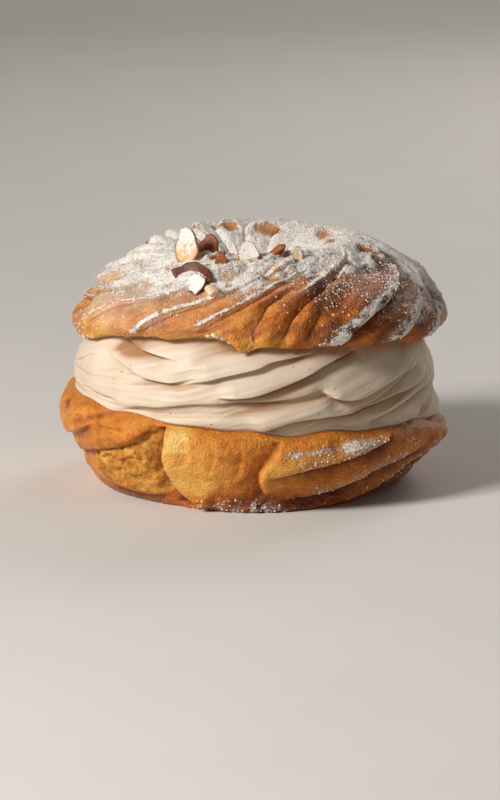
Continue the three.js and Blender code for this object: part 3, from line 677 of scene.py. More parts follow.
# hairline cracks and wrinkles that only the fine mesh shows
BASE_CRACKS = [
    (0.6, 1.0, 1.4, 0.7, 2, 0.8, (-146, 9.6), (-141, 11.2), (-136, 10.2), (-132, 11.4), (-128, 12),
     (-124, 11.6)),
    (0.5, 0.8, 1.2, 0.7, 2, 0.8, (-141, 7), (-136, 8.4), (-131, 7.2), (-126, 8.2)),
    (0.5, 0.8, 1.2, 0.7, 2, 0.8, (-126, 15.4), (-122, 12.5), (-124, 9)),
    (0.4, 0.7, 1.0, 0.6, 2, 0.8, (-137, 13), (-134, 11.6), (-133, 8.8)),
    (0.3, 0.5, 1.5, 1.0, 3, 0.8, (-111, 20), (-109, 15), (-110, 11)),
    (0.3, 0.6, 1.5, 1.2, 3, 0.8, (-103, 20), (-101, 14), (-103, 9)),
    (0.3, 0.5, 1.8, 1.4, 3, 0.8, (-94, 19), (-93, 14), (-95, 8)),
    (0.5, 0.35, 1.6, 1.4, 3, 1.0, (-150, 20), (-141, 18.4), (-130, 18.6)),
    (0.5, 0.25, 1.6, 1.4, 3, 1.0, (-162, 17.6), (-156, 19.2), (-148, 20)),
]
# noises, each with its height in mm, its cell in mm and its seed
DOUGH_LUMPS = [(0.45, 9, 1), (0.34, 4, 2), (0.2, 1.7, 3), (0.08, 0.8, 7)]
CRUMB_LUMPS = [(0.9, 3.2, 4), (0.66, 1.5, 5), (0.34, 0.7, 6)]
FOOT_LUMPS = [(0.5, 2.2, 8), (0.35, 1.0, 9)]
CRUMB_DEPTH = 0.2              # how far the torn crumb lies under the crust, in mm


def torn_place(azimuth, z):
    """1 where the crust is torn and the crumb shows, and 0 elsewhere."""
    across = smoothstep(-160, -150, azimuth) * (1 - smoothstep(-118.5, -116.5, azimuth))
    ceiling = spline([9.4, 11.4, 14, 16.4, 20], (azimuth + 160) / 42)
    floor = spline([7.5, 4.4, 3.2, 3.8], (azimuth + 156) / 40)
    below = 1 - smoothstep(ceiling - 0.9, ceiling + 0.2, z)
    return across * below * smoothstep(floor - 0.6, floor + 1.2, z)


def base_points():
    """The outer face's grid, and what the masks need to know about it."""
    azimuth, t = section_grid(BASE_COLUMNS, BASE_FACE_ROWS)
    rim = rim_height(azimuth)
    z = rim * spline(BASE_SECTION_RISE, t)
    held = smoothstep(0, 2.2, z) * smoothstep(0, 1.6, rim - z)
    low_part = smoothstep(0, 0.4, t)
    radius = spline(BASE_SECTION_RADII, t) + around(BASE_SPREAD, azimuth) * low_part
    radius = radius + around(SEAT_SPREAD, azimuth) * (1 - low_part)
    radius = radius + around(BELLY_SPREAD, azimuth) * bump(t, 0.4, 0.25)
    lift, hollow = folds_lift(base_folds, azimuth, z)
    fine_lift, fine_hollow = folds_lift([make_fold(*crack) for crack in BASE_CRACKS], azimuth, z)
    lumps = noise_at(place(radius, azimuth, z))
    torn = torn_place(azimuth, z)
    front_foot = smoothstep(-122, -112, azimuth) * smoothstep(-40, -60, azimuth) * smoothstep(5.5, 2, z)
    swell = layered(lumps, DOUGH_LUMPS)
    crumb = np.maximum(torn, front_foot) * (layered(lumps, CRUMB_LUMPS) - CRUMB_DEPTH)
    stands_out = lift - hollow + fine_lift - fine_hollow + bells(BASE_LOBES, azimuth, z)
    radius = radius + stands_out * held + (swell + crumb) * held
    radius = radius + near(azimuth, -92, 40) * smoothstep(3, 0, z) * layered(lumps, FOOT_LUMPS)
    z = z - OVERHANG * lift * held
    facts = dict(hollow=(hollow + 1.3 * fine_hollow) * held, torn=torn, lift=lift * held)
    return azimuth, z, place(radius, azimuth, z), facts


def flat_rows(columns_azimuth, radii, height):
    """Rows of the ring at fixed distances to the axis, with a height for each."""
    azimuth, radius = np.broadcast_arrays(columns_azimuth[:, None], np.asarray(radii, float)[None, :])
    return place(radius, azimuth, height(azimuth, radius))


# %% The base's colours and its sugar
BASE_BROWN = 0.42              # 0 is the palest crust and 1 the darkest
# how much darker a place is: amount, azimuth, half width, and the heights in mm it comes in over
BASE_TONES = [
    (0.14, -30, 44, *ANY_HEIGHT),      # the right part: partly deeper bake, partly painted shade
    (0.04, -96, 9, 4, 9),              # the front lobe
    (-0.16, -108, 11, 20, 9),          # painted light on the lobe's left side
    (-0.34, -112.5, 4, 14, 15.5),      # and a painted highlight on its upper corner
    (0.3, -138, 22, 4.0, 2.6),         # the strip along the foot of the torn part
    (0.42, -88, 26, 7.5, 2),           # the foot in front
    (0.14, -146, 20, 7, 10),           # the flap
]
# darker and paler spots: azimuth, height, half width in degrees, half height, amount
# the paler spot at azimuth -81 is painted light where a ridge faces the key lamp
BASE_SPOTS = [(-147, 5.2, 3.5, 1.3, 0.55), (-163, 20.5, 3, 1, 0.33), (-81, 9, 8, 4, -0.14)]


def base_colours(azimuth, z, facts):
    """How dark the base is baked, from its heights and folds, with painted light on the lifts and painted
    shade in the hollows.
    """
    right = near(azimuth, -30, 44)
    flap = near(azimuth, -146, 20) * smoothstep(7, 10, z)
    streak = flap * drawn_out(azimuth * 0.06, z - 0.24 * azimuth, 1.3, 64)
    brown = BASE_BROWN + tones(BASE_TONES, azimuth, z) + bells(BASE_SPOTS, azimuth, z) + 0.14 * streak
    # painted light on the raised folds and painted shade in their hollows, more of it at the shaded right
    return brown - 0.08 * facts["lift"] + 0.2 * np.clip(facts["hollow"], 0, 2.5) * (0.35 + right)


def base_sugar(azimuth, z, facts):
    """Where stray sugar lies on the base: on its right ridges, its rim and its foot."""
    right = smoothstep(-84, -70, azimuth) * smoothstep(10, -10, azimuth)
    on_crest = smoothstep(0.5, 1.3, facts["lift"])
    heap = near(azimuth, -57, 5.0) * bump(z, 15.6, 1.3)
    patchy = noise_at(place(BASE_RADIUS, azimuth, z))(1.6, 65)
    trail = smoothstep(-84, -76, azimuth) * smoothstep(-50, -58, azimuth)
    trail = trail * bump(z, 14.4 + (azimuth + 82) * 0.07, 0.8)
    rim = right * smoothstep(-2.0, -0.6, z - rim_height(azimuth)) * smoothstep(-58, -46, azimuth)
    foot = near(azimuth, -92, 16) * smoothstep(4.5, 1, z)
    sugar = 1.05 * heap + 0.65 * trail + 0.36 * right * on_crest + 0.18 * rim + 0.55 * foot
    return np.clip(sugar * (1 + 0.7 * patchy), 0, 0.95)


def make_base():
    azimuth, z, face, facts = base_points()
    ring = azimuth[:, 0]
    top = flat_rows(ring, BASE_TOP_RADII, base_top)
    wall_radii = [HOLE_RADIUS + 0.9] * len(BASE_WALL_DEPTHS)
    depths = np.array(BASE_WALL_DEPTHS)[None, :]
    wall = flat_rows(ring, wall_radii, lambda a, r: base_top(a, r) * (1 - depths))
    under = flat_rows(ring, BASE_UNDERSIDE_RADII, lambda a, r: 0 * r)
    sugar = base_sugar(azimuth, z, facts)
    # crease is painted shade in the fold hollows and the hairline cracks
    return ring_object("choux_base_crust", face, [top, wall, under], dict(
        brown=(base_colours(azimuth, z, facts), 0.35), torn=(facts["torn"], 0.6),
        crease=(np.clip(facts["hollow"] / 2.6, 0, 1), 0), sugar=(0.85 * sugar, 0), grain=(1.6 * sugar, 0)))


base_piece = make_base()


# %% [markdown]
# ## The praline cream
#
# The cream is piped from a fluted nozzle in long strands that lie over one another
# and climb to the right. Between two strands is a sharp crease, which painted shade
# darkens. The strands are folds again, with more depth and more overhang than in the
# dough, and with the faint lines that the nozzle's teeth draw along them.

# %% The cream's folds
CREAM_FOLDS = [
    # the hollow under the lid at the left, between two strands
    (0.7, 2.2, 2.5, 3.2, 7, 1.6, (-142, 40), (-138, 39.3), (-128, 37.2), (-120, 36.2), (-113, 35.2)),
    (1.0, 1.2, 3, 2.5, 5, 1.6, (-84, 39.6), (-88, 38.9), (-100, 37.4), (-110, 34.4)),
    (1.1, 1.6, 2.8, 2.2, 8, 1.6, (-150, 36.8), (-140, 34.4), (-132, 32.6), (-126, 31.1), (-120, 30.6),
     (-114, 30.8), (-106, 32.4)),
    (1.2, 1.8, 2.6, 2.2, 9, 1.6, (-112, 30.3), (-104, 31.7), (-97, 33.3), (-88, 35.0), (-84, 36.1),
     (-75, 37.2), (-66, 38.2)),
    (1.0, 1.5, 3, 1.8, 7, 1.6, (-161, 25.0), (-154, 25.4), (-146, 25.2), (-136, 24.4)),
    # the long strands that climb from the front to the right
    (1.9, 2.6, 3, 2.2, 6, 2.2, (-102, 28.0), (-96, 28.2), (-89, 28.9), (-80, 31.0), (-72, 33.2),
     (-66, 35.0), (-59, 36.6), (-50, 37.6)),
    (1.0, 1.0, 3, 3.2, 5, 1.6, (-136, 22.2), (-128, 24), (-120, 24.5), (-108, 26), (-92, 26.8),
     (-78, 27.6), (-66, 30)),
    (1.2, 0.8, 3, 1.8, 5, 1.6, (-62, 28.2), (-70, 27), (-80, 25.2), (-92, 23.8), (-106, 23.2),
     (-120, 22.4), (-132, 21.4)),
    (1.6, 2.1, 3.2, 2.0, 7, 2.0, (-71, 30.6), (-66, 27.9), (-60, 26.6), (-54, 27.2), (-46, 29.1),
     (-38, 30.8), (-26, 33.4)),
    (0.9, 1.2, 2.2, 1.6, 5, 1.6, (-60, 24.4), (-52, 25.4), (-44, 27.6), (-36, 29.4), (-24, 32.2)),
    (1.9, 2.5, 3, 2.2, 5, 2.2, (-91, 18.6), (-84, 21), (-77, 22.6), (-68, 23.1), (-60, 23.0),
     (-51, 24.3), (-42, 25.8), (-30, 27), (-18, 29.4)),
    (1.1, 1.6, 2.2, 1.8, 5, 1.6, (-53, 19.6), (-44, 21.5), (-36, 22.8), (-24, 25), (-14, 27)),
    (1.3, 1.9, 3, 2.4, 5, 1.6, (-30, 16.5), (-25, 19.6), (-20, 22.6), (-13, 25.4), (-6, 28.6)),
    (0.7, 1.5, 2.5, 2.2, 5, 1.6, (-26, 21), (-14, 22.8), (0, 25.2), (18, 29)),
    (0.4, 0.5, 3, 2.2, 5, 1.6, (-176, 29.4), (-168, 30.2), (-158, 32.4), (-150, 35)),
]
# where a strand stands out beyond the rim of the base at the right: rows as in BASE_LOBES
CREAM_LOBES = [(2, 17.0, 17, 2.8, 2.1), (-32, 17.6, 4, 1.4, 0.9)]
BACK_STRAND_STEP = 17          # degrees between the strands of the back
BACK_STRAND_SPAN = 72          # degrees that one of them climbs over


def piped_cream_folds():
    """Folds that follow one another round the back, from the base up to the lid."""
    draw = random_source(7)
    folds = []
    for start in range(-85, 186, BACK_STRAND_STEP):
        azimuth = start + 8 * (draw() - 0.5)
        low = float(around(RIM_HEIGHT, azimuth)) + 0.5
        high = float(around(LIP_HEIGHT, azimuth + 70))
        line = climbing_line(azimuth, BACK_STRAND_SPAN, low, high, 1.5 * (draw() - 0.3))
        depth = 0.9 + 0.5 * draw()
        folds.append((depth, depth * 1.3, 2.8, 2.2, 9, 2.4, *line))
    return folds


cream_folds = [make_fold(*fold) for fold in CREAM_FOLDS + piped_cream_folds()]
print("folds in the cream:", len(cream_folds))


# %% The cream's mesh
CREAM_COLUMNS = 640
CREAM_FACE_ROWS = 136
CREAM_SECTION_RADII = [42.4, 43.1, 43.2, 43.0, 42.4, 41.2, 39.4]
CREAM_TOP_RADII = [37, 33, 27, 18, HOLE_RADIUS + 1.8]
CREAM_BOTTOM_RADII = [HOLE_RADIUS + 1.8, 18, 28, 35, 38.5, 41]
CREAM_OVERHANG = OVERHANG * 1.2
STRAND_TURN = -112             # azimuth where the nozzle's lines are lowest
SLANT_RIGHT = 0.22             # mm that they climb for each degree to the right of it
SLANT_LEFT = 0.16              # and to the left of it, high up


def strand_streaks(azimuth, z):
    """The faint lines that the nozzle's teeth draw along the strands, in mm."""
    turn = wrap(azimuth) - STRAND_TURN
    slant = np.where(turn > 0, SLANT_RIGHT, -SLANT_LEFT * smoothstep(26, 32, z))
    places = azimuth * 0.05, z - slant * np.abs(turn)
    return 0.12 * drawn_out(*places, 0.7, 11) + 0.17 * drawn_out(*places, 1.9, 12)


def cream_shade_and_tan(azimuth, z, ceiling, streaks):
    """How dark it is painted: painted shadow where the crust overhangs it, painted shade in the hollow at
    the left, and tan in some streaks.
    """
    shaded = 1.5 * smoothstep(5.0, 0.6, ceiling - z) * smoothstep(-150, -130, azimuth)
    hollow = 2.4 * bump(azimuth, -133, 6.5) * bump(z, 37.0, 1.7)
    return shaded + hollow + 6 * np.clip(streaks - 0.05, 0, 1)


def make_cream():
    azimuth, t = section_grid(CREAM_COLUMNS, CREAM_FACE_ROWS)
    floor = base_top(azimuth, CREAM_SECTION_RADII[0]) + CREAM_GAP
    ceiling = lid_underside(azimuth, CREAM_SECTION_RADII[-1]) - CREAM_GAP
    z = mix(floor, ceiling, t)
    held = smoothstep(0, 0.06, t) * smoothstep(0, 0.09, 1 - t)
    lift, hollow = folds_lift(cream_folds, azimuth, z)
    streaks = strand_streaks(azimuth, z)
    uneven = 0.26 * noise_at(place(CREAM_RADIUS, azimuth, z))(7, 13) + streaks
    radius = spline(CREAM_SECTION_RADII, t) + around(CREAM_SPREAD, azimuth) * held
    radius = radius + (lift - hollow + uneven) * held
    radius = radius + bells(CREAM_LOBES, azimuth, z) * smoothstep(0, 0.05, t)
    # painted shade in the fold hollows, painted shadow under the crust, and tan streaks
    crease = hollow * held + cream_shade_and_tan(azimuth, z, ceiling, streaks)
    z = z - CREAM_OVERHANG * np.minimum(lift, 2.2) * held
    ring = azimuth[:, 0]
    top = flat_rows(ring, CREAM_TOP_RADII, lambda a, r: lid_underside(a, r) - CREAM_GAP)
    bottom = flat_rows(ring, CREAM_BOTTOM_RADII, lambda a, r: base_top(a, r) + CREAM_GAP)
    return ring_object("praline_cream_strands", place(radius, azimuth, z), [top, bottom],
                       dict(crease=(crease, 0)))


cream_piece = make_cream()


# %% [markdown]
# ## The choux lid
#
# The upper half keeps the nozzle's swirl: eighteen ridges that lean over like
# shingles, swelling to a lip and falling sharply into the next groove, while they
# turn round the dome. The grid itself turns with the ridges, so that the columns
# run along them and a lip stays sharp with few points. The sugar thickens this same
# mesh: it covers the crest, lies in heaps, catches on the lips, and leaves dents and
# sheltered flanks bare.

# %% The lid's section and ridges
# each ridge: where it ends at the lower edge, the degrees it turns on its way up to the
# shoulder, how deep it is in mm, where on the section it begins and has died away, and
# the part of its width where its lip is: a plate has it at its far side, a soft pleat
# nearer its middle
PLATE = 0.92
LID_RIDGES = [
    (-158, 35, 0.9, 0.05, 0.42, PLATE), (-126, 21, 1.0, 0.0, 0.66, PLATE),
    (-107, 15, 0.8, 0.08, 0.50, 0.86), (-90, 4, 1.5, -0.1, 0.44, 0.55),
    (-82, 9, 1.6, -0.1, 0.60, 0.58), (-74, 9, 1.2, -0.1, 0.32, 0.55),
    (-62, 31, 2.6, -0.1, 0.66, PLATE), (-38, 36, 2.9, -0.1, 0.90, PLATE), (-18, 38, 2.7, -0.1, 1.2, 0.88),
    (2, 40, 2.4, -0.1, 1.2, 0.86), (22, 41, 2.2, -0.1, 1.2, 0.84), (43, 42, 2.1, -0.1, 1.2, 0.84),
    (64, 43, 2.0, -0.1, 1.2, 0.82), (84, 45, 1.9, -0.1, 1.2, 0.8), (104, 48, 2.0, -0.1, 1.2, 0.76),
    (120, 52, 2.4, -0.1, 1.2, 0.72), (135, 61, 2.4, -0.1, 1.2, 0.74), (150, 65, 1.6, 0.1, 0.7, PLATE),
]
RIDGE_EDGE, RIDGE_TURN, RIDGE_DEPTH, RIDGE_STARTS, RIDGE_ENDS, RIDGE_LIP = np.array(LID_RIDGES, float).T
SHOULDER_AT = 0.3              # the part of the section where the shoulder is
CREST_AT = 0.625
RIDGE_TOP = 0.7                # where the lip is on the crest, where the ridges are rounder
RIDGE_SLANT = 1.5              # mm that a ridge runs sideways for each mm of climb, over the shoulder
RIDGE_BEND = 1.7               # above 1, a ridge rises steeply at first and then leans over
RIDGE_STRENGTH = [0.5, 0.9, 1, 0.95, 0.85, 0.7, 0.6, 0.3, 0]
# gentle swellings of the dome: azimuth, place on the section, half width in degrees,
# half height on the section, lift in mm
LID_LOBES = [(-178, 0.19, 13, 0.05, -2.6), (100, 0.56, 34, 0.12, 0.9), (164, 0.42, 22, 0.1, -1.1)]


def lid_section(azimuth, t):
    """Radius and height of the lid's smooth dome, from its edge (t=0) into the hole (t=1)."""
    lip = lip_height(azimuth) - edge_drip(azimuth)
    spread = around(LID_SPREAD, azimuth)
    shoulder = around(SHOULDER_SPREAD, azimuth)
    radii = [
        LIP_RADIUS + spread * 0.6 + edge_drip(azimuth) * 0.5, LID_RADIUS + spread,
        41.4 + shoulder, 36.9 + shoulder * 0.93, 31 + shoulder * 0.8,
        CREST_RADIUS + shoulder * 0.15, 14.8, 8.6, HOLE_RADIUS + 1.2,
    ]
    heights = [
        lip, mix(lip, 46.4, 0.45), 47.4 + shoulder * 0.1, 51.3 + shoulder * 0.1, 54.6 + shoulder * 0.15,
        CREST_HEIGHT + shoulder * 0.2, 54.4, 48, lid_underside(azimuth, HOLE_RADIUS + 1.2),
    ]
    return spline(radii, t), spline(heights, t)


def ridge_turns(steps=80):
    """Degrees that a ridge of even slant has turned at evenly spaced places on the section."""
    t = np.linspace(0, 1, steps + 1)
    radius, z = lid_section(np.full(steps + 1, -60.0), t)
    slant = RIDGE_SLANT * (1 - smoothstep(CREST_AT - 0.1, CREST_AT + 0.1, t[1:]))
    run = np.hypot(np.diff(radius), np.diff(z))
    return np.concatenate([[0], np.cumsum(slant * run / (radius[1:] * DEG))])


TURNS = ridge_turns()


def even_turn(t):
    return np.interp(t, np.linspace(0, 1, len(TURNS)), TURNS)


def lip_azimuth(ridge, t):
    """Azimuth of a ridge's lip: its own slant up to the shoulder, and an even one from there."""
    at_shoulder = even_turn(SHOULDER_AT)
    climb = np.minimum(even_turn(t) / at_shoulder, 1) ** RIDGE_BEND
    return RIDGE_EDGE[ridge] + RIDGE_TURN[ridge] * climb + np.maximum(even_turn(t) - at_shoulder, 0)


def ridge_depth(ridge, t):
    """How deep a ridge is, in mm, at a place on the section."""
    starts, ends = RIDGE_STARTS[ridge], RIDGE_ENDS[ridge]
    shows = smoothstep(starts, starts + 0.1, t) * smoothstep(ends, ends - 0.14, t)
    return RIDGE_DEPTH[ridge] * spline(RIDGE_STRENGTH, t) * mix(0.1, 1, shows)


def under_sugar(azimuth, t):
    """1 at the left of the crest, where sugar has filled the grooves, and 0 elsewhere."""
    return smoothstep(0.32, 0.42, t) * near(azimuth, -134, 34)


def ridge_lip(ridge, t):
    """The part of a ridge's width where its lip is."""
    flank = RIDGE_LIP[ridge]
    return mix(flank, np.minimum(flank, RIDGE_TOP), smoothstep(0.38, CREST_AT, t))


def ridge_swell(u, lip):
    """The swell across one ridge: a slow rise to the lip, then a fall to the groove."""
    power = mix(1.5, 0.7, smoothstep(0.55, 0.68, lip))
    rise = np.sin(np.pi / 2 * np.clip(u / lip, 0, 1)) ** power
    fall = np.cos(np.pi / 2 * np.clip((u - lip) / (1 - lip), 0, 1)).clip(0) ** power
    return np.where(u < lip, rise, fall)


print("the ridges turn by", round(float(TURNS[-1])), "degrees")


# %% The lid's mesh
STEPS_PER_RIDGE = 34
DENSE_FROM = 0.76              # the part of a ridge's width from which its columns lie closer
LID_FACE_ROWS = 150
LID_UNDERSIDE_RADII = [11, 16, 22, 28, 34, 38.5, 41.2]
WANDER = 0.7                   # degrees that a ridge strays to either side
STREAK_HEIGHT = 0.14

# dents in the crust, which stay bare: azimuth, place on the section, half width and depth in mm
LID_DENTS = [
    (-42, 0.51, 1.2, 1.1), (-16, 0.556, 2.0, 1.2), (-14, 0.46, 2.0, 1.0), (-29, 0.432, 2.2, 1.0),
    (-24, 0.48, 1.6, 0.9), (-36, 0.45, 1.3, 0.8), (-3, 0.49, 1.4, 0.7), (6, 0.676, 1.8, 0.8),
    (-120, 0.14, 1.2, 0.5), (-104, 0.1, 1.4, 0.6), (-70, 0.61, 1.5, 0.9), (31, 0.668, 2.2, 0.7),
    (20, 0.655, 1.7, 0.6), (82, 0.69, 2.5, 0.7), (73, 0.685, 2.0, 0.7), (106, 0.665, 2.3, 0.7),
    (128, 0.64, 1.2, 0.6),
]
# heaps of sugar: azimuth, place on the section, half width in mm, height in mm
SUGAR_HEAPS = [
    (-72, 0.532, 2.2, 0.7), (-79, 0.488, 1.7, 0.5), (-46, 0.48, 1.8, 0.5), (-50, 0.55, 2.4, 0.5),
    (-136, 0.45, 2.6, 0.5), (-150, 0.33, 2.2, 0.4), (-20, 0.37, 2.0, 0.4), (-6, 0.28, 1.6, 0.4),
]
# noises, each with its height in mm, its cell in mm and its seed
CRUST_LUMPS = [(0.34, 6, 23), (0.26, 2.6, 24), (0.14, 1.2, 25)]
CREST_LUMPS = [(0.5, 3.6, 27), (0.3, 1.8, 28)]
EDGE_LUMPS = [(0.45, 3.4, 29), (0.3, 1.4, 30)]


def lid_columns():
    """Ridge number and place across the ridge for every column, closer together at the lips."""
    early = np.linspace(0, DENSE_FROM, STEPS_PER_RIDGE // 2, endpoint=False)
    late = np.linspace(DENSE_FROM, 1, STEPS_PER_RIDGE - len(early), endpoint=False)
    across = np.concatenate([early, late])
    ridge = np.repeat(np.arange(len(LID_RIDGES)), STEPS_PER_RIDGE)
    return ridge, np.tile(across, len(LID_RIDGES))


def outward(azimuth, t):
    """The dome's outward direction along its section, as parts in radius and height."""
    ahead = lid_section(azimuth, np.minimum(t + 0.005, 1))
    behind = lid_section(azimuth, np.maximum(t - 0.005, 0))
    tangent = np.hypot(ahead[0] - behind[0], ahead[1] - behind[1])
    return (ahead[1] - behind[1]) / tangent, -(ahead[0] - behind[0]) / tangent


def smooth_lid():
    """The grid on the smooth dome, turned with the ridges, and what is known of its places."""
    ridge, u = lid_columns()
    t = np.linspace(0, 1, LID_FACE_ROWS)
    ridge, u, t = np.broadcast_arrays(ridge[:, None], u[:, None], t[None, :])
    previous = (ridge - 1) % len(LID_RIDGES)
    start = lip_azimuth(previous, t)
    width = lip_azimuth(ridge, t) - start
    width = np.where(width <= 0, width + 360, width)
    column = start - even_turn(t) + width * u
    wander = WANDER * drawn_out(column / 9, t * 7, 1.0, 21)
    azimuth = wrap(start + width * u + wander * smoothstep(0, 0.1, t))
    radius, z = lid_section(azimuth, t)
    cloud = under_sugar(azimuth, t)
    height = mix(ridge_depth(previous, t), ridge_depth(ridge, t), smoothstep(0, 0.3, u))
    return dict(
        ridge=ridge, u=u, t=t, width=width, azimuth=azimuth, radius=radius, z=z, cloud=cloud,
        lip=ridge_lip(ridge, t), height=height * (1 - 0.85 * cloud),
        streaks=drawn_out(column / 2.2, t * 9, 1.0, 26), lumps=noise_at(place(radius, azimuth, z)))


def lid_point(azimuth, t):
    """A point on the smooth dome, in mm."""
    azimuth = np.array(azimuth, float)
    radius, z = lid_section(azimuth, np.array(t, float))
    return place(radius, azimuth, z)


def spots(rows, facts, cell, seed):
    """A ragged bell round each spot of a list, with the spot's height."""
    points = place(facts["radius"], facts["azimuth"], facts["z"])
    ragged = 1 + 0.5 * facts["lumps"](cell, seed)
    for azimuth, t, half_width, height in rows:
        distance = np.linalg.norm(points - lid_point(azimuth, t), axis=-1)
        yield np.exp(-(distance / (half_width * ragged)) ** 2), height


def crest_rubble(azimuth, t):
    """1 at the front of the crest, where chips of almond lie under the sugar like rubble."""
    rubble = smoothstep(0.42, 0.5, t) * smoothstep(0.72, 0.62, t) * near(azimuth, -104, 36)
    return rubble * (1 - near(azimuth, -116, 11) * bump(t, 0.49, 0.09))


def lid_relief(facts):
    """How far the crust stands out from the dome, in mm; adds the dents, rubble and heaps."""
    azimuth, t, lumps = facts["azimuth"], facts["t"], facts["lumps"]
    swell = facts["height"] * (ridge_swell(facts["u"], facts["lip"]) - 0.6)
    lift = swell * (1 + 0.3 * lumps(8, 22)) + bells(LID_LOBES, azimuth, t)
    dent = sum(depth * bell for bell, depth in spots(LID_DENTS, facts, 1.9, 67))
    on_crest = smoothstep(0.36, 0.5, t) * near(azimuth, -80, 60)
    on_crest = np.maximum(on_crest, 1.2 * facts["cloud"])
    uneven = layered(lumps, CRUST_LUMPS) + STREAK_HEIGHT * facts["streaks"]
    uneven = uneven + on_crest * layered(lumps, CREST_LUMPS)
    rubble = crest_rubble(azimuth, t)
    chips = 1 - 2 * np.abs(lumps(2.4, 61)) + 0.7 * (1 - 2 * np.abs(lumps(1.3, 62)))
    uneven = uneven + 0.75 * rubble * (chips - 0.8)
    heaped = np.zeros(t.shape)
    for heap, rise in spots(SUGAR_HEAPS, facts, 2.2, 63):
        heaped = np.maximum(heaped, heap)
        uneven = uneven + rise * heap
    facts.update(dent=dent, rubble=rubble, heaped=heaped)
    return lift + (uneven - dent) * smoothstep(0, 0.05, t) * smoothstep(1, 0.85, t)


def raise_crust(facts):
    """Moves the places of the dome out by the relief, and makes its lower edge ragged."""
    t = facts["t"]
    out_radius, out_z = outward(facts["azimuth"], t)
    lift = lid_relief(facts)
    ragged = (1 - smoothstep(0, 0.06, t)) * layered(facts["lumps"], EDGE_LUMPS)
    facts["radius"] = facts["radius"] + out_radius * lift + 0.5 * ragged
    facts["z"] = facts["z"] + out_z * lift * smoothstep(0, 0.05, t) + ragged
    facts["out"] = (out_radius, out_z)


# %% The lid's sugar and colours
SUGAR_THICKNESS = 0.35         # mm
# where the sugar cover begins, as a height in mm for every 30 degrees
SUGAR_LINE = [48.2, 49.4, 51.4, 52.9, 54.4, 51.5, 46.5, 46, 47, 48, 48, 48.4]
# sugar caught on each ridge's lip: how dense, how wide in mm, and from where to where on
# the section
LIP_SUGAR = [
    (1.25, 2.0, 0.06, 0.42), (1.25, 2.4, 0.03, 0.6), (1.15, 1.8, 0.12, 0.5), (0.1, 0.4, 0.3, 0.5),
    (1.1, 3.0, 0.35, 0.62), (0.15, 0.4, 0.3, 0.5), (1.0, 7.0, 0.01, 1), (1.0, 7.6, 0.01, 1),
    (1.0, 7.6, 0.01, 1), (1.0, 6.0, 0.02, 1), (1.0, 3.4, 0.02, 1), (0.95, 3.0, 0.02, 1),
    (0.8, 2.6, 0.05, 1), (0.8, 2.6, 0.02, 1), (0.9, 2.6, 0.02, 1), (0.8, 2.4, 0.02, 1),
    (0.8, 2.0, 0.02, 1), (1.0, 1.2, 0.12, 0.5),
]
LID_BROWN = 0.48               # 0 is the palest crust and 1 the darkest
# how much darker a place is: amount, azimuth, half width, and the heights in mm it comes in over
LID_TONES = [
    (-0.12, -150, 42, *ANY_HEIGHT),    # the left: partly paler bake, partly painted light
    (0.32, -46, 42, *ANY_HEIGHT),      # the right: partly deeper bake, partly painted shade
    (-0.14, -96, 7, 44, 39),           # the drip in front
]
MOTTLE = [(0.16, 9, 41), (0.12, 3.5, 42)]
GROOVE_HALF_WIDTH = 0.34       # mm


def lip_sugar(facts):
    """The sugar that each ridge's lip has caught."""
    lumps, t = facts["lumps"], facts["t"]
    before_lip = (facts["lip"] - facts["u"]) * facts["width"] * DEG * facts["radius"]
    dense, wide, starts, stops = [np.array([row[k] for row in LIP_SUGAR])[facts["ridge"]] for k in range(4)]
    band = smoothstep(wide + 0.5, wide * 0.4, before_lip) * smoothstep(-0.35, 0.0, before_lip)
    patchy = np.clip(0.95 + 0.4 * lumps(3, 33) + 0.9 * lumps(1.1, 37), 0.25, 1)
    held = smoothstep(starts, starts + 0.05, t) * smoothstep(stops + 0.02, stops - 0.02, t)
    return dense * band * patchy * held


def sheltered_flank(facts):
    """1 just behind a ridge's lip, where little sugar falls, and 0 elsewhere."""
    behind_lip = smoothstep(facts["lip"] - 0.05, facts["lip"] + 0.04, facts["u"])
    below_crest = smoothstep(0.6, 0.5, facts["t"])
    dusty_back = 1 - 0.8 * near(facts["azimuth"], -168, 30)
    return behind_lip * np.clip(facts["height"] / 1.5, 0, 1) * below_crest * dusty_back


def sugar_cover(facts):
    """How thick the sugar lies, 0 to 1, before its own grain is added."""
    azimuth, z, lumps, dent = facts["azimuth"], facts["z"], facts["lumps"], facts["dent"]
    above = z - around(SUGAR_LINE, azimuth)
    top = smoothstep(-3.0, 2.0, above + 2.2 * lumps(5, 31) + 1.4 * lumps(1.8, 32))
    left = near(azimuth, -150, 34) * smoothstep(55.5, 51, z)
    thin = 1.22 + 0.4 * lumps(3.2, 36) + 0.26 * lumps(1.3, 38) - 0.36 * facts["rubble"] - 0.5 * left
    bare = np.maximum(sheltered_flank(facts) * 0.6, np.clip(dent, 0, 1))
    dusting = 0.36 * smoothstep(-8, 0, above) * np.clip(0.4 + lumps(4, 34), 0, 1)
    dusting = dusting * (1 - 0.8 * near(azimuth, -18, 34))
    cover = np.maximum(top * np.clip(thin, 0, 1.25) * (1 - bare), lip_sugar(facts))
    cover = np.maximum(cover, dusting)
    cover = cover * (1 - np.clip(dent * (1.5 + 0.6 * lumps(1.1, 38)), 0, 1))
    cover = np.maximum(cover, 1.3 * facts["heaped"])
    return np.clip(cover, 0, 1.25) * smoothstep(1.0, 0.86, facts["t"])


def sugar_haze(facts):
    """The thinnest dust, which only pales the crust: most of it at the left, little low down."""
    azimuth, z = facts["azimuth"], facts["z"]
    above = smoothstep(-6, 1, z - around(SUGAR_LINE, azimuth)) * (1 - 0.9 * near(azimuth, -12, 30))
    left = near(azimuth, -158, 44) * smoothstep(38, 46, z)
    patchy = np.clip(0.8 + 0.5 * facts["lumps"](3.4, 39), 0, 1)
    return np.clip(0.4 * above + 0.9 * left, 0, 1) * patchy


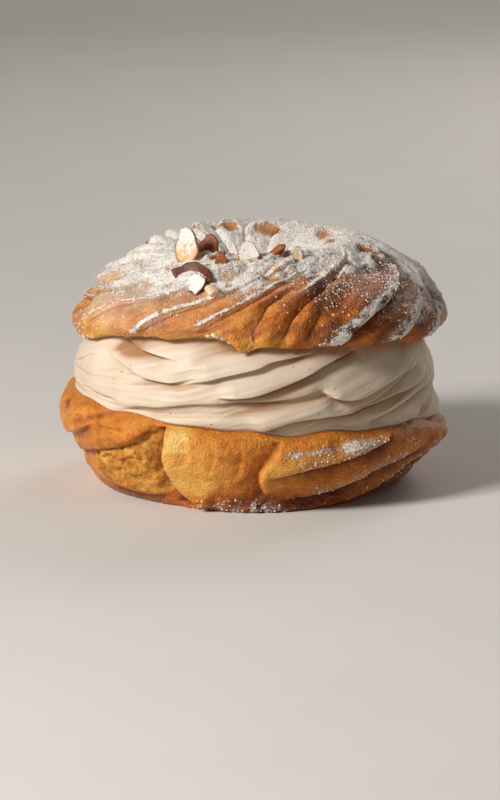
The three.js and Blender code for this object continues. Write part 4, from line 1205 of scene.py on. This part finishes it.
def stray_grains(facts, left):
    """Grains on the bare flank below the crest at the right, and along the lips at the left."""
    lip_near = bump(facts["u"], facts["lip"], 0.08)
    right = 1.5 * near(facts["azimuth"], -46, 22) * smoothstep(0.12, 0.34, facts["t"])
    right = 1.6 * right * np.clip(0.7 + 1.2 * facts["lumps"](2.2, 66), 0, 2)
    return np.maximum(right, 0.5 * left * lip_near + 0.16 * left)


def lid_groove_shade(facts, left):
    """Painted shade: 1 in the grooves between the ridges, and less in the dents."""
    width_mm = facts["width"] * DEG * facts["radius"]
    before = bump((1 - facts["u"]) * width_mm, 0.12, GROOVE_HALF_WIDTH)
    after = bump(facts["u"] * width_mm, 0, GROOVE_HALF_WIDTH)
    deep = np.clip(facts["height"] / mix(1.6, 0.7, left), 0, 1)
    groove = np.maximum(before, after) * deep * smoothstep(0.02, 0.1, facts["t"])
    return np.clip(groove + 0.7 * facts["dent"], 0, 1)


def lid_colours(facts):
    """How dark the lid is baked; its tones at the left and right are partly painted light and shade."""
    azimuth, z, lumps = facts["azimuth"], facts["z"], facts["lumps"]
    lip_near = bump(facts["u"], facts["lip"] - 0.04, 0.1)
    edge = smoothstep(2.6, 0.4, z - lip_height(azimuth))
    mottle = layered(lumps, MOTTLE) + 0.12 * facts["streaks"]
    return LID_BROWN + tones(LID_TONES, azimuth, z) + 0.06 * lip_near - 0.12 * edge + mottle


def lid_underside_rows(azimuth):
    """The rows that lead back under the lid, from the hole's azimuths to the edge's."""
    rows = len(LID_UNDERSIDE_RADII)
    back = np.arange(1, rows + 1) / (rows + 1)
    inner = azimuth[:, -1:]
    under = wrap(inner + wrap(azimuth[:, :1] - inner) * back[None, :])
    radius = np.broadcast_to(np.array(LID_UNDERSIDE_RADII, float)[None, :], under.shape)
    return place(radius, under, lid_underside(under, radius))


def make_lid():
    facts = smooth_lid()
    raise_crust(facts)
    sugar = sugar_cover(facts)
    azimuth, out = facts["azimuth"], facts["out"]
    thick = SUGAR_THICKNESS * smoothstep(0.35, 0.9, sugar) * (1 + 0.6 * facts["lumps"](0.9, 35))
    face = place(facts["radius"] + out[0] * thick, azimuth, facts["z"] + out[1] * thick)
    left = near(azimuth, -145, 30)
    grain = np.maximum(smoothstep(0.06, 0.4, sugar) * smoothstep(1.2, 0.7, sugar), stray_grains(facts, left))
    return ring_object("choux_lid_crust", face, [lid_underside_rows(azimuth)], dict(
        brown=(lid_colours(facts), 0.3), torn=(0 * sugar, 0.8), crease=(lid_groove_shade(facts, left), 0),
        sugar=(sugar, 0), grain=(grain, 0), haze=(sugar_haze(facts), 0)))


lid_piece = make_lid()


# %% [markdown]
# ## Almond flakes and nibs
#
# Sliced almonds are thin pointed ovals that curl in the oven. They stick in the crust
# at all angles: some lie flat under sugar, some stand up, and the best baked are nearly
# black. Each is a disc of rings bent along its length, placed on the lid's own surface.
# Chopped almonds and crumbs are lumpy balls, pushed into the crust.

# %% The flakes' and nibs' mesh
# each flake: azimuth, place on the lid's section, heading, tilt, length, width for a length
# of 1, curl, how far out its tip is whole, how toasted it is and how much sugar lies on it
ALMONDS = [
    (-125, 0.585, 100, 62, 9.6, 0.6, 0.05, 0.84, 0.3, 0.7),
    (-121, 0.670, 90, 74, 6.0, 0.85, 0.1, 0.9, 0.76, -0.3),
    (-112, 0.620, 15, 16, 6.6, 0.62, 0.06, 0.7, 0.4, 0.9),
    (-114, 0.476, 80, 32, 5.6, 1.9, 0.15, 0.95, 0.92, -0.5),
    (-111.5, 0.406, 60, 22, 7.4, 0.8, 0.03, 0.62, 0.95, 0.95),
    (-105, 0.555, 100, 66, 4.6, 0.6, 0.06, 0.8, 0.7, 0.15),
    (-92, 0.600, 90, 40, 6.6, 0.72, 0.05, 0.85, 0.3, 0.95),
    (-74, 0.650, 20, 34, 6.2, 0.72, 0.16, 0.8, 0.62, 0.0),
    (-67, 0.575, 80, 60, 4.6, 0.5, 0.05, 0.85, 0.15, 0.5),
    (-59, 0.610, 0, 24, 3.6, 0.6, 0.1, 0.7, 0.5, 0.3),
    (-60, 0.490, 20, 14, 4.2, 0.5, 0.05, 0.7, 0.15, 0.5),
    (100, 0.440, 150, 14, 7.0, 0.62, 0.12, 1, 0.5, 0.4),
    (34, 0.360, 40, 12, 6.6, 0.62, 0.12, 0.8, 0.4, 0.4),
    (150, 0.460, 100, 12, 6.4, 0.62, 0.12, 1, 0.6, 0.3),
]
# each nib or crumb: azimuth, place on the section, size in mm
NIBS = [
    (-104, 0.36, 3.2), (128, 0.4, 2.4), (66, 0.34, 2.2), (-101, 0.085, 1.5), (-99, 0.06, 1.1),
    (-103.5, 0.05, 1.0), (-97, 0.03, 0.9), (-92, 0.56, 1.6), (-80, 0.52, 1.4),
]
FLAKE_THICKNESS = 0.9
FLAKE_SINK = 0.7               # how deep a flake's lowest point sits in the crust
FLAKE_SIDES = 30
FLAKE_RINGS = 8
FLAKE_SHEET = FLAKE_SIDES * FLAKE_RINGS
FLAKE_ANGLES = np.linspace(0, 2 * np.pi, FLAKE_SIDES, endpoint=False)
NIB_SHAPE = np.array([1.15, 0.9, 0.85])
NIB_TOAST = 0.2
NIB_SUGAR = 0.45


def unit(vector):
    return vector / np.linalg.norm(vector)


def lid_spot(azimuth, t):
    """A point on the lid in mm, and the directions round it, up its slope and out of it."""
    round_it = unit(lid_point(azimuth + 1, t) - lid_point(azimuth - 1, t))
    slope = unit(lid_point(azimuth, t + 0.01) - lid_point(azimuth, t - 0.01))
    return lid_point(azimuth, t), np.stack([round_it, slope, unit(np.cross(round_it, slope))])


def flake_sheet(length, width, curl, whole, lift, phase):
    """Points of one face of a flake, ring by ring from its middle."""
    angle = FLAKE_ANGLES[None, :]
    ring = np.linspace(0.06, 1, FLAKE_RINGS)[:, None]
    pointed = 1 - 0.25 * (1 + np.cos(angle))
    wobble = 1 + 0.05 * np.sin(3 * angle + phase) + 0.04 * np.sin(7 * angle + 2 * phase)
    broken = whole + 0.05 * np.sin(9 * angle + phase)
    x = ring * (length / 2) * np.clip(wobble * np.cos(angle), -1.05 * broken, broken)
    y = ring * wobble * (width / 2) * np.sin(angle) * pointed * 1.3
    sag = curl * length * (2 * x / length) ** 2 + curl * width * (2 * y / width) ** 2
    ripple_across = 0.05 * length * (y / width) * np.sin(3 * x / length + phase)
    edge_round = 0.7 + 0.3 * np.sqrt(np.clip(1 - ring ** 6, 0, 1))
    z = lift * FLAKE_THICKNESS * edge_round + sag + ripple_across
    return np.stack([x, y, z], -1).reshape(-1, 3)


def flake_on_lid(azimuth, t, heading, tilt, length, width, curl, whole):
    """Corners of one flake in mm, set into the lid."""
    point, basis = lid_spot(azimuth, t)
    sheets = [flake_sheet(length, length * width, curl, whole, lift, 1.7 * azimuth) for lift in (0.5, -0.5)]
    turn = Matrix.Rotation(heading * DEG, 3, "Z") @ Matrix.Rotation(-tilt * DEG, 3, "Y")
    part = np.linspace(-1, 1, 9)
    heights = part * length / 2 * math.sin(tilt * DEG) + curl * length * part ** 2 * math.cos(tilt * DEG)
    local = np.concatenate(sheets) @ np.array(turn).T
    return point + local @ basis + basis[2] * (-heights.min() - FLAKE_SINK)


def flake_faces():
    """Quads and triangles that close a flake's two faces and its edge."""
    faces = []
    for k in range(FLAKE_SIDES):
        after = (k + 1) % FLAKE_SIDES
        for ring in range(FLAKE_RINGS - 1):
            a, b = ring * FLAKE_SIDES + k, ring * FLAKE_SIDES + after
            quad = (a, a + FLAKE_SIDES, b + FLAKE_SIDES, b)
            faces.append(quad)
            faces.append(tuple(FLAKE_SHEET + quad[corner] for corner in (0, 3, 2, 1)))
        last = (FLAKE_RINGS - 1) * FLAKE_SIDES
        faces.append((last + k, FLAKE_SHEET + last + k, FLAKE_SHEET + last + after, last + after))
    faces.append(tuple(range(FLAKE_SIDES)))
    faces.append(tuple(FLAKE_SHEET + k for k in reversed(range(FLAKE_SIDES))))
    return faces


def copies_of(faces, points, count):
    """The faces of `count` copies of a mesh that follow one another."""
    return [tuple(number * points + k for k in face) for number in range(count) for face in faces]


def make_flakes():
    ring = np.repeat(np.linspace(0, 1, FLAKE_RINGS), FLAKE_SIDES)
    edge = np.tile(smoothstep(0.8, 1.0, ring), 2)
    along = np.tile(ring * np.cos(np.tile(FLAKE_ANGLES, FLAKE_RINGS)), 2)
    upper = np.repeat([1.0, 0.0], FLAKE_SHEET)
    points, toasts, sugars = [], [], []
    for *shape, toast, sugar in ALMONDS:
        points.append(flake_on_lid(*shape))
        toasts.append(np.full(len(edge), toast))
        tilt = shape[3]
        dusted = (sugar + 0.5 * math.sin(tilt * DEG) * along) * upper
        sugars.append(dusted - 0.6 * edge)
    faces = copies_of(flake_faces(), len(edge), len(ALMONDS))
    print("flakes:", len(ALMONDS))
    return painted_mesh("almond_flakes", np.concatenate(points), faces, dict(
        toast=np.concatenate(toasts), sugar=np.concatenate(sugars), edge=np.tile(edge, len(ALMONDS))))


def make_nibs():
    """Chopped almond and crumbs."""
    bm = bmesh.new()
    bmesh.ops.create_icosphere(bm, subdivisions=3, radius=0.5)
    ball = np.array([v.co[:] for v in bm.verts])
    ball_faces = [[v.index for v in face.verts] for face in bm.faces]
    bm.free()
    points = []
    for number, (azimuth, t, size) in enumerate(NIBS):
        point, basis = lid_spot(azimuth, t)
        bumps = 0.3 * lattice_noise(ball * 3 + number, 1.0, 51) + 0.12 * lattice_noise(ball * 7, 1.0, 52)
        local = ball * (1 + bumps)[:, None] * size * NIB_SHAPE
        points.append(point + basis[2] * size * 0.3 + local @ basis)
    points = np.concatenate(points)
    print("nibs:", len(NIBS))
    return painted_mesh("almond_nibs", points, copies_of(ball_faces, len(ball), len(NIBS)), dict(
        toast=np.full(len(points), NIB_TOAST), sugar=np.full(len(points), NIB_SUGAR),
        edge=np.zeros(len(points))))


flakes_piece = make_flakes()
nibs_piece = make_nibs()


# %% [markdown]
# ## Grains of icing sugar
#
# Sifted sugar is a film with loose clumps on it. The film is part of the crust's
# finish; the clumps that catch the light are real grains, scattered by Geometry Nodes
# where the painted number `grain` says, more of them where it is higher.

# %% Sugar grains
GRAIN_RADIUS = 0.19 * MM
GRAIN_SIZES = (0.35, 1.45)     # the smallest and the largest, for a radius of 1
LID_GRAINS = 1.1e6             # grains for each square metre where the painted `grain` is 1
BASE_GRAINS = 1.2e6
ICING_SHADE = "#cfa982"
ICING_WHITE = "#f6f2ec"


def grains_tree():
    """Scatters small rough balls over a mesh by its `grain` numbers."""
    tree = bpy.data.node_groups.new("sugar_grains", "GeometryNodeTree")
    for name, kind in (("Geometry", "Geometry"), ("Density", "Float"), ("Radius", "Float"),
                       ("Seed", "Int"), ("Material", "Material")):
        tree.interface.new_socket(name, in_out="INPUT", socket_type="NodeSocket" + kind)
    tree.interface.new_socket("Geometry", in_out="OUTPUT", socket_type="NodeSocketGeometry")
    given = add_node(tree, "NodeGroupInput").outputs
    where = add_node(tree, "GeometryNodeInputNamedAttribute", {"data_type": "FLOAT"}, Name="grain")
    density = math_node(tree, "MULTIPLY", where.outputs["Attribute"], given["Density"])
    scatter = add_node(tree, "GeometryNodeDistributePointsOnFaces", {"distribute_method": "RANDOM"},
                       Mesh=given["Geometry"], Density=density, Seed=given["Seed"])
    ball = add_node(tree, "GeometryNodeMeshIcoSphere", Radius=given["Radius"], Subdivisions=1)
    size = add_node(tree, "FunctionNodeRandomValue", {"data_type": "FLOAT"},
                    i2=GRAIN_SIZES[0], i3=GRAIN_SIZES[1], Seed=given["Seed"])
    spin = add_node(tree, "FunctionNodeRandomValue", {"data_type": "FLOAT_VECTOR"},
                    i0=(0, 0, 0), i1=(6.3, 6.3, 6.3))
    grains = add_node(tree, "GeometryNodeInstanceOnPoints", Points=scatter.outputs["Points"],
                      Instance=ball.outputs["Mesh"], Rotation=spin.outputs[0], Scale=size.outputs[1])
    real = add_node(tree, "GeometryNodeRealizeInstances", Geometry=grains.outputs["Instances"])
    finish = add_node(tree, "GeometryNodeSetMaterial", Geometry=real.outputs["Geometry"],
                      Material=given["Material"])
    add_node(tree, "NodeGroupOutput", Geometry=finish.outputs["Geometry"])
    return tree


def scatter_grains(name, surface, density, seed, material):
    """A plain mesh of the grains that lie on one piece."""
    carrier = link_object(name + "_carrier", surface.data.copy())
    modifier = carrier.modifiers.new("grains", "NODES")
    modifier.node_group = GRAINS_TREE
    values = {"Density": density, "Radius": GRAIN_RADIUS, "Seed": seed, "Material": material}
    for socket in GRAINS_TREE.interface.items_tree:
        if socket.in_out == "INPUT" and socket.name in values:
            modifier[socket.identifier] = values[socket.name]
    bpy.context.view_layer.update()
    evaluated = carrier.evaluated_get(bpy.context.evaluated_depsgraph_get())
    mesh = bpy.data.meshes.new_from_object(evaluated)
    mesh.name = name
    bpy.data.objects.remove(carrier)
    print(name, "has", len(mesh.polygons), "triangles")
    return link_object(name, mesh)


def sugar_material():
    """Icing sugar: a matt white powder that lets a little light in, cream-coloured where it is thin."""
    material, tree, shader = new_material("icing_sugar")
    thin = remap(tree, noise(tree, 1.2), 0.35, 0.6)
    shade = mix_colour(tree, thin, linear(ICING_SHADE), linear(ICING_WHITE))
    set_inputs(tree, shader, Base_Color=shade, Roughness=0.9, Subsurface_Weight=0.15,
               Subsurface_Radius=(0.0004, 0.0004, 0.0004))
    return material


GRAINS_TREE = grains_tree()
icing = sugar_material()
lid_grains = scatter_grains("lid_sugar_grains", lid_piece, LID_GRAINS, 5, icing)
base_grains = scatter_grains("base_sugar_grains", base_piece, BASE_GRAINS, 6, icing)


# %% [markdown]
# ## Crust, crumb and sugar in one material
#
# Choux crust is egg-washed dough: golden where it is thin, chestnut where it stood
# closest to the heat, with a faint gloss over fine pores. Where it tore, the crumb
# is pale, dull and open. The icing sugar that covers it is a matt white powder, so
# it needs high roughness and a soft edge broken up at the size of its clumps.

# %% Choux crust
CRUST_STEPS = [
    (0.04, "#f0c870"), (0.24, "#eaa94a"), (0.42, "#dc8a2a"), (0.58, "#c26a12"),
    (0.75, "#8d4509"), (0.93, "#512205"),
]
CREASE_SHADE = "#57210a"
CRUMB_STEPS = [(0.3, "#8c4e16"), (0.45, "#c6822c"), (0.64, "#e0aa50")]
CRUMB_CREASE_SHADE = "#8a4c18"
SUGAR_WHITE = "#f2ede6"
SUGAR_HIDES = 0.94             # how much of the crust the thickest sugar hides
HAZE_COLOUR = "#ecd2bb"
HAZE_STRENGTH = 0.62
SPECK_COLOUR = "#a07a5e"
SPECK_STRENGTH = 0.6
SPECK_MM = 0.6
MOTTLE_MM = 3.2
FRECKLE_MM = 0.7
CRUMB_MM = 3.0
PORE_MM = 0.5
WRINKLE_MM = 2.0
CLUMP_MM = 0.8
GRAIN_MM = 0.34


def powder(tree, detail, roughness, low, high):
    """Icing sugar seen close up: white, with specks where the noise is above `low`."""
    specks = remap(tree, noise(tree, SPECK_MM, detail, roughness), low, high, 0.0, SPECK_STRENGTH)
    return mix_colour(tree, specks, linear(SUGAR_WHITE), linear(SPECK_COLOUR))


def crust_colour(tree, crease):
    """The baked crust: darker where `brown` is higher, and darkest in its creases, where shade is painted.
    """
    mottle = swing(tree, noise(tree, MOTTLE_MM, 5.0, 0.65), 0.62)
    freckle = swing(tree, noise(tree, FRECKLE_MM, 3.0, 0.6), 0.3)
    crust = colour_ramp(tree, total(tree, mask(tree, "brown"), mottle, freckle), CRUST_STEPS)
    return mix_colour(tree, crease, crust, linear(CREASE_SHADE))


def crumb_colour(tree, crease):
    """The pale crumb that shows where the crust tore, with painted shade in its creases."""
    crumb = colour_ramp(tree, noise(tree, CRUMB_MM, 5.0, 0.6), CRUMB_STEPS)
    return mix_colour(tree, scaled(tree, crease, 0.8), crumb, linear(CRUMB_CREASE_SHADE))


def choux_material():
    material, tree, shader = new_material("egg_washed_choux")
    # painted shade in the grooves, dents and fold hollows
    crease = remap(tree, mask(tree, "crease"), 0.25, 1.0, 0.0, 0.85)
    torn = remap(tree, mask(tree, "torn"), 0.25, 0.7)
    baked = mix_colour(tree, torn, crust_colour(tree, crease), crumb_colour(tree, crease))
    haze = scaled(tree, mask(tree, "haze"), HAZE_STRENGTH)
    hazed = mix_colour(tree, haze, baked, linear(HAZE_COLOUR))
    grains = noise(tree, GRAIN_MM, 2.0, 0.6)
    ragged = total(tree, swing(tree, noise(tree, CLUMP_MM, 2.0, 0.6), 1.2), swing(tree, grains, 1.6))
    sugar = remap(tree, total(tree, mask(tree, "sugar"), ragged), 0.3, 0.8)
    colour = mix_colour(tree, scaled(tree, sugar, SUGAR_HIDES), hazed, powder(tree, 1.0, 0.5, 0.63, 0.69))
    dull = math_node(tree, "MAXIMUM", remap(tree, sugar, 0.0, 1.0, 0.32, 0.92), scaled(tree, torn, 0.9))
    wrinkles = scaled(tree, noise(tree, WRINKLE_MM, 4.0, 0.65), 2.0)
    relief = total(tree, noise(tree, PORE_MM, 3.0, 0.6), wrinkles, scaled(tree, sugar, 0.9),
                   scaled(tree, grains, 0.6))
    set_inputs(tree, shader, Base_Color=colour, Roughness=dull, Normal=fine_relief(tree, relief, 0.9, 0.36),
               Specular_IOR_Level=0.44, Subsurface_Weight=0.1, Subsurface_Radius=(0.002, 0.001, 0.0005),
               Subsurface_Scale=1.0)
    return material


choux = choux_material()
for piece in (base_piece, lid_piece):
    piece.data.materials.append(choux)
print("crust colours:", [colour for _, colour in CRUST_STEPS])


# %% [markdown]
# ## Toasted almond
#
# The cut face of an almond is pale and a little waxy; the oven turns it gold, then
# chestnut, and the skin left round the edge goes darkest.

# %% Toasted almond
ALMOND_STEPS = [(0.05, "#f3dcae"), (0.35, "#e2a055"), (0.62, "#a8591f"), (0.95, "#5a260b")]
ALMOND_SKIN = "#6a3214"
BLOTCH_MM = 1.6
FLAKE_CLUMP_MM = 1.1


def almond_material():
    material, tree, shader = new_material("toasted_almond")
    blotch = swing(tree, noise(tree, BLOTCH_MM, 3.0, 0.6), 0.4)
    body = colour_ramp(tree, total(tree, mask(tree, "toast"), blotch), ALMOND_STEPS)
    body = mix_colour(tree, scaled(tree, mask(tree, "edge"), 0.75), body, linear(ALMOND_SKIN))
    clumps = swing(tree, noise(tree, FLAKE_CLUMP_MM), 1.2)
    ragged = total(tree, clumps, swing(tree, noise(tree, GRAIN_MM), 1.0))
    sugar = remap(tree, total(tree, mask(tree, "sugar"), ragged), 0.34, 0.74)
    colour = mix_colour(tree, scaled(tree, sugar, SUGAR_HIDES), body, powder(tree, 2.0, 0.6, 0.62, 0.68))
    relief = total(tree, noise(tree, PORE_MM, 3.0, 0.6), sugar)
    set_inputs(tree, shader, Base_Color=colour, Roughness=remap(tree, sugar, 0.0, 1.0, 0.5, 0.92),
               Normal=fine_relief(tree, relief, 0.5, 0.25), Subsurface_Weight=0.12,
               Subsurface_Radius=(0.001, 0.0006, 0.0003))
    return material


almond = almond_material()
for piece in (flakes_piece, nibs_piece):
    piece.data.materials.append(almond)
print("toast colours:", len(ALMOND_STEPS))


# %% [markdown]
# ## The cream's finish
#
# Praline cream is butter and pastry cream: dense and satin, with light passing a
# millimetre or two under the surface. Ground caramelised nuts leave dark specks.

# %% Praline cream
CREAM_LIGHT = "#e1d0ba"
CREAM_SHADE_TAN = "#a97c53"
TINT_MM = 9
SPECK_BROWN = "#6e4a2c"
SPECK_CELL_MM = 1.9
SPECK_SIZE = 0.11              # of a cell, for the largest speck


def nut_specks(tree):
    """1 in small round specks of uneven size, and 0 between them."""
    coordinates = add_node(tree, "ShaderNodeTexCoord").outputs["Object"]
    cells = add_node(tree, "ShaderNodeTexVoronoi", Vector=coordinates, Scale=1 / (SPECK_CELL_MM * MM),
                     Randomness=1.0)
    size = add_node(tree, "ShaderNodeSeparateColor", Color=cells.outputs["Color"]).outputs[0]
    limit = remap(tree, size, 0.45, 1.0, 0.0, SPECK_SIZE)
    return math_node(tree, "LESS_THAN", cells.outputs["Distance"], limit)


def cream_material():
    material, tree, shader = new_material("praline_buttercream")
    tint = scaled(tree, noise(tree, TINT_MM, 3.0), 0.4, -0.12)
    # the crease mask brings painted shade in the creases and under the crust, and tan streaks
    shade = total(tree, tint, remap(tree, mask(tree, "crease"), 0.5, 2.8))
    body = mix_colour(tree, shade, linear(CREAM_LIGHT), linear(CREAM_SHADE_TAN))
    colour = mix_colour(tree, nut_specks(tree), body, linear(SPECK_BROWN))
    relief = fine_relief(tree, noise(tree, 0.9, 3.0, 0.6), 0.25, 0.2)
    set_inputs(tree, shader, Base_Color=colour, Roughness=0.5, Normal=relief, Subsurface_Weight=0.15,
               Subsurface_Radius=(0.0016, 0.001, 0.0006), Subsurface_Scale=1.0)
    return material


cream_piece.data.materials.append(cream_material())
print("specks every", SPECK_CELL_MM, "mm at most")


# %% [markdown]
# ## The table
#
# A plain pale floor that curves up behind, so that the pastry stands in even light.

# %% Floor
FLOOR_SIZE = 3.0
BEND_STARTS = 0.9              # metres behind the middle
BEND_RADIUS = 0.35
WALL_HEIGHT = 1.6
PAPER_SHADE = "#dedad4"
PAPER_PALE = "#e6e2dc"


def make_floor():
    half = FLOOR_SIZE / 2
    rows = [(-half, 0.0), (BEND_STARTS, 0.0)]
    for angle in range(10, 91, 10):
        over, up = math.sin(angle * DEG), 1 - math.cos(angle * DEG)
        rows.append((BEND_STARTS + BEND_RADIUS * over, BEND_RADIUS * up))
    rows.append((BEND_STARTS + BEND_RADIUS, WALL_HEIGHT))
    points = [(x, y, z) for y, z in rows for x in (-half, half)]
    faces = [(2 * k, 2 * k + 1, 2 * k + 3, 2 * k + 2) for k in range(len(rows) - 1)]
    mesh = bpy.data.meshes.new("floor")
    mesh.from_pydata(points, [], faces)
    mesh.shade_smooth()
    material, tree, shader = new_material("pale_paper")
    shade = mix_colour(tree, noise(tree, 40, 2.0), linear(PAPER_SHADE), linear(PAPER_PALE))
    set_inputs(tree, shader, Base_Color=shade, Roughness=0.7)
    mesh.materials.append(material)
    return link_object("floor", mesh)


make_floor()
print("floor ready")


# %% [markdown]
# ## Join the pieces to the frame
#
# Each fine piece stands for the solid that it was fitted to.

# %% Ride and replace
for piece, node, slot in (
    (base_piece, "choux_base", "choux_crust"),
    (cream_piece, "praline_cream", "praline_cream"),
    (lid_piece, "choux_lid", "choux_crust"),
    (flakes_piece, "choux_lid", "almond"),
    (nibs_piece, "choux_lid", "almond"),
    (lid_grains, "choux_lid", "icing_sugar"),
    (base_grains, "choux_base", "icing_sugar"),
):
    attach(piece, "root")
    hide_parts(node)
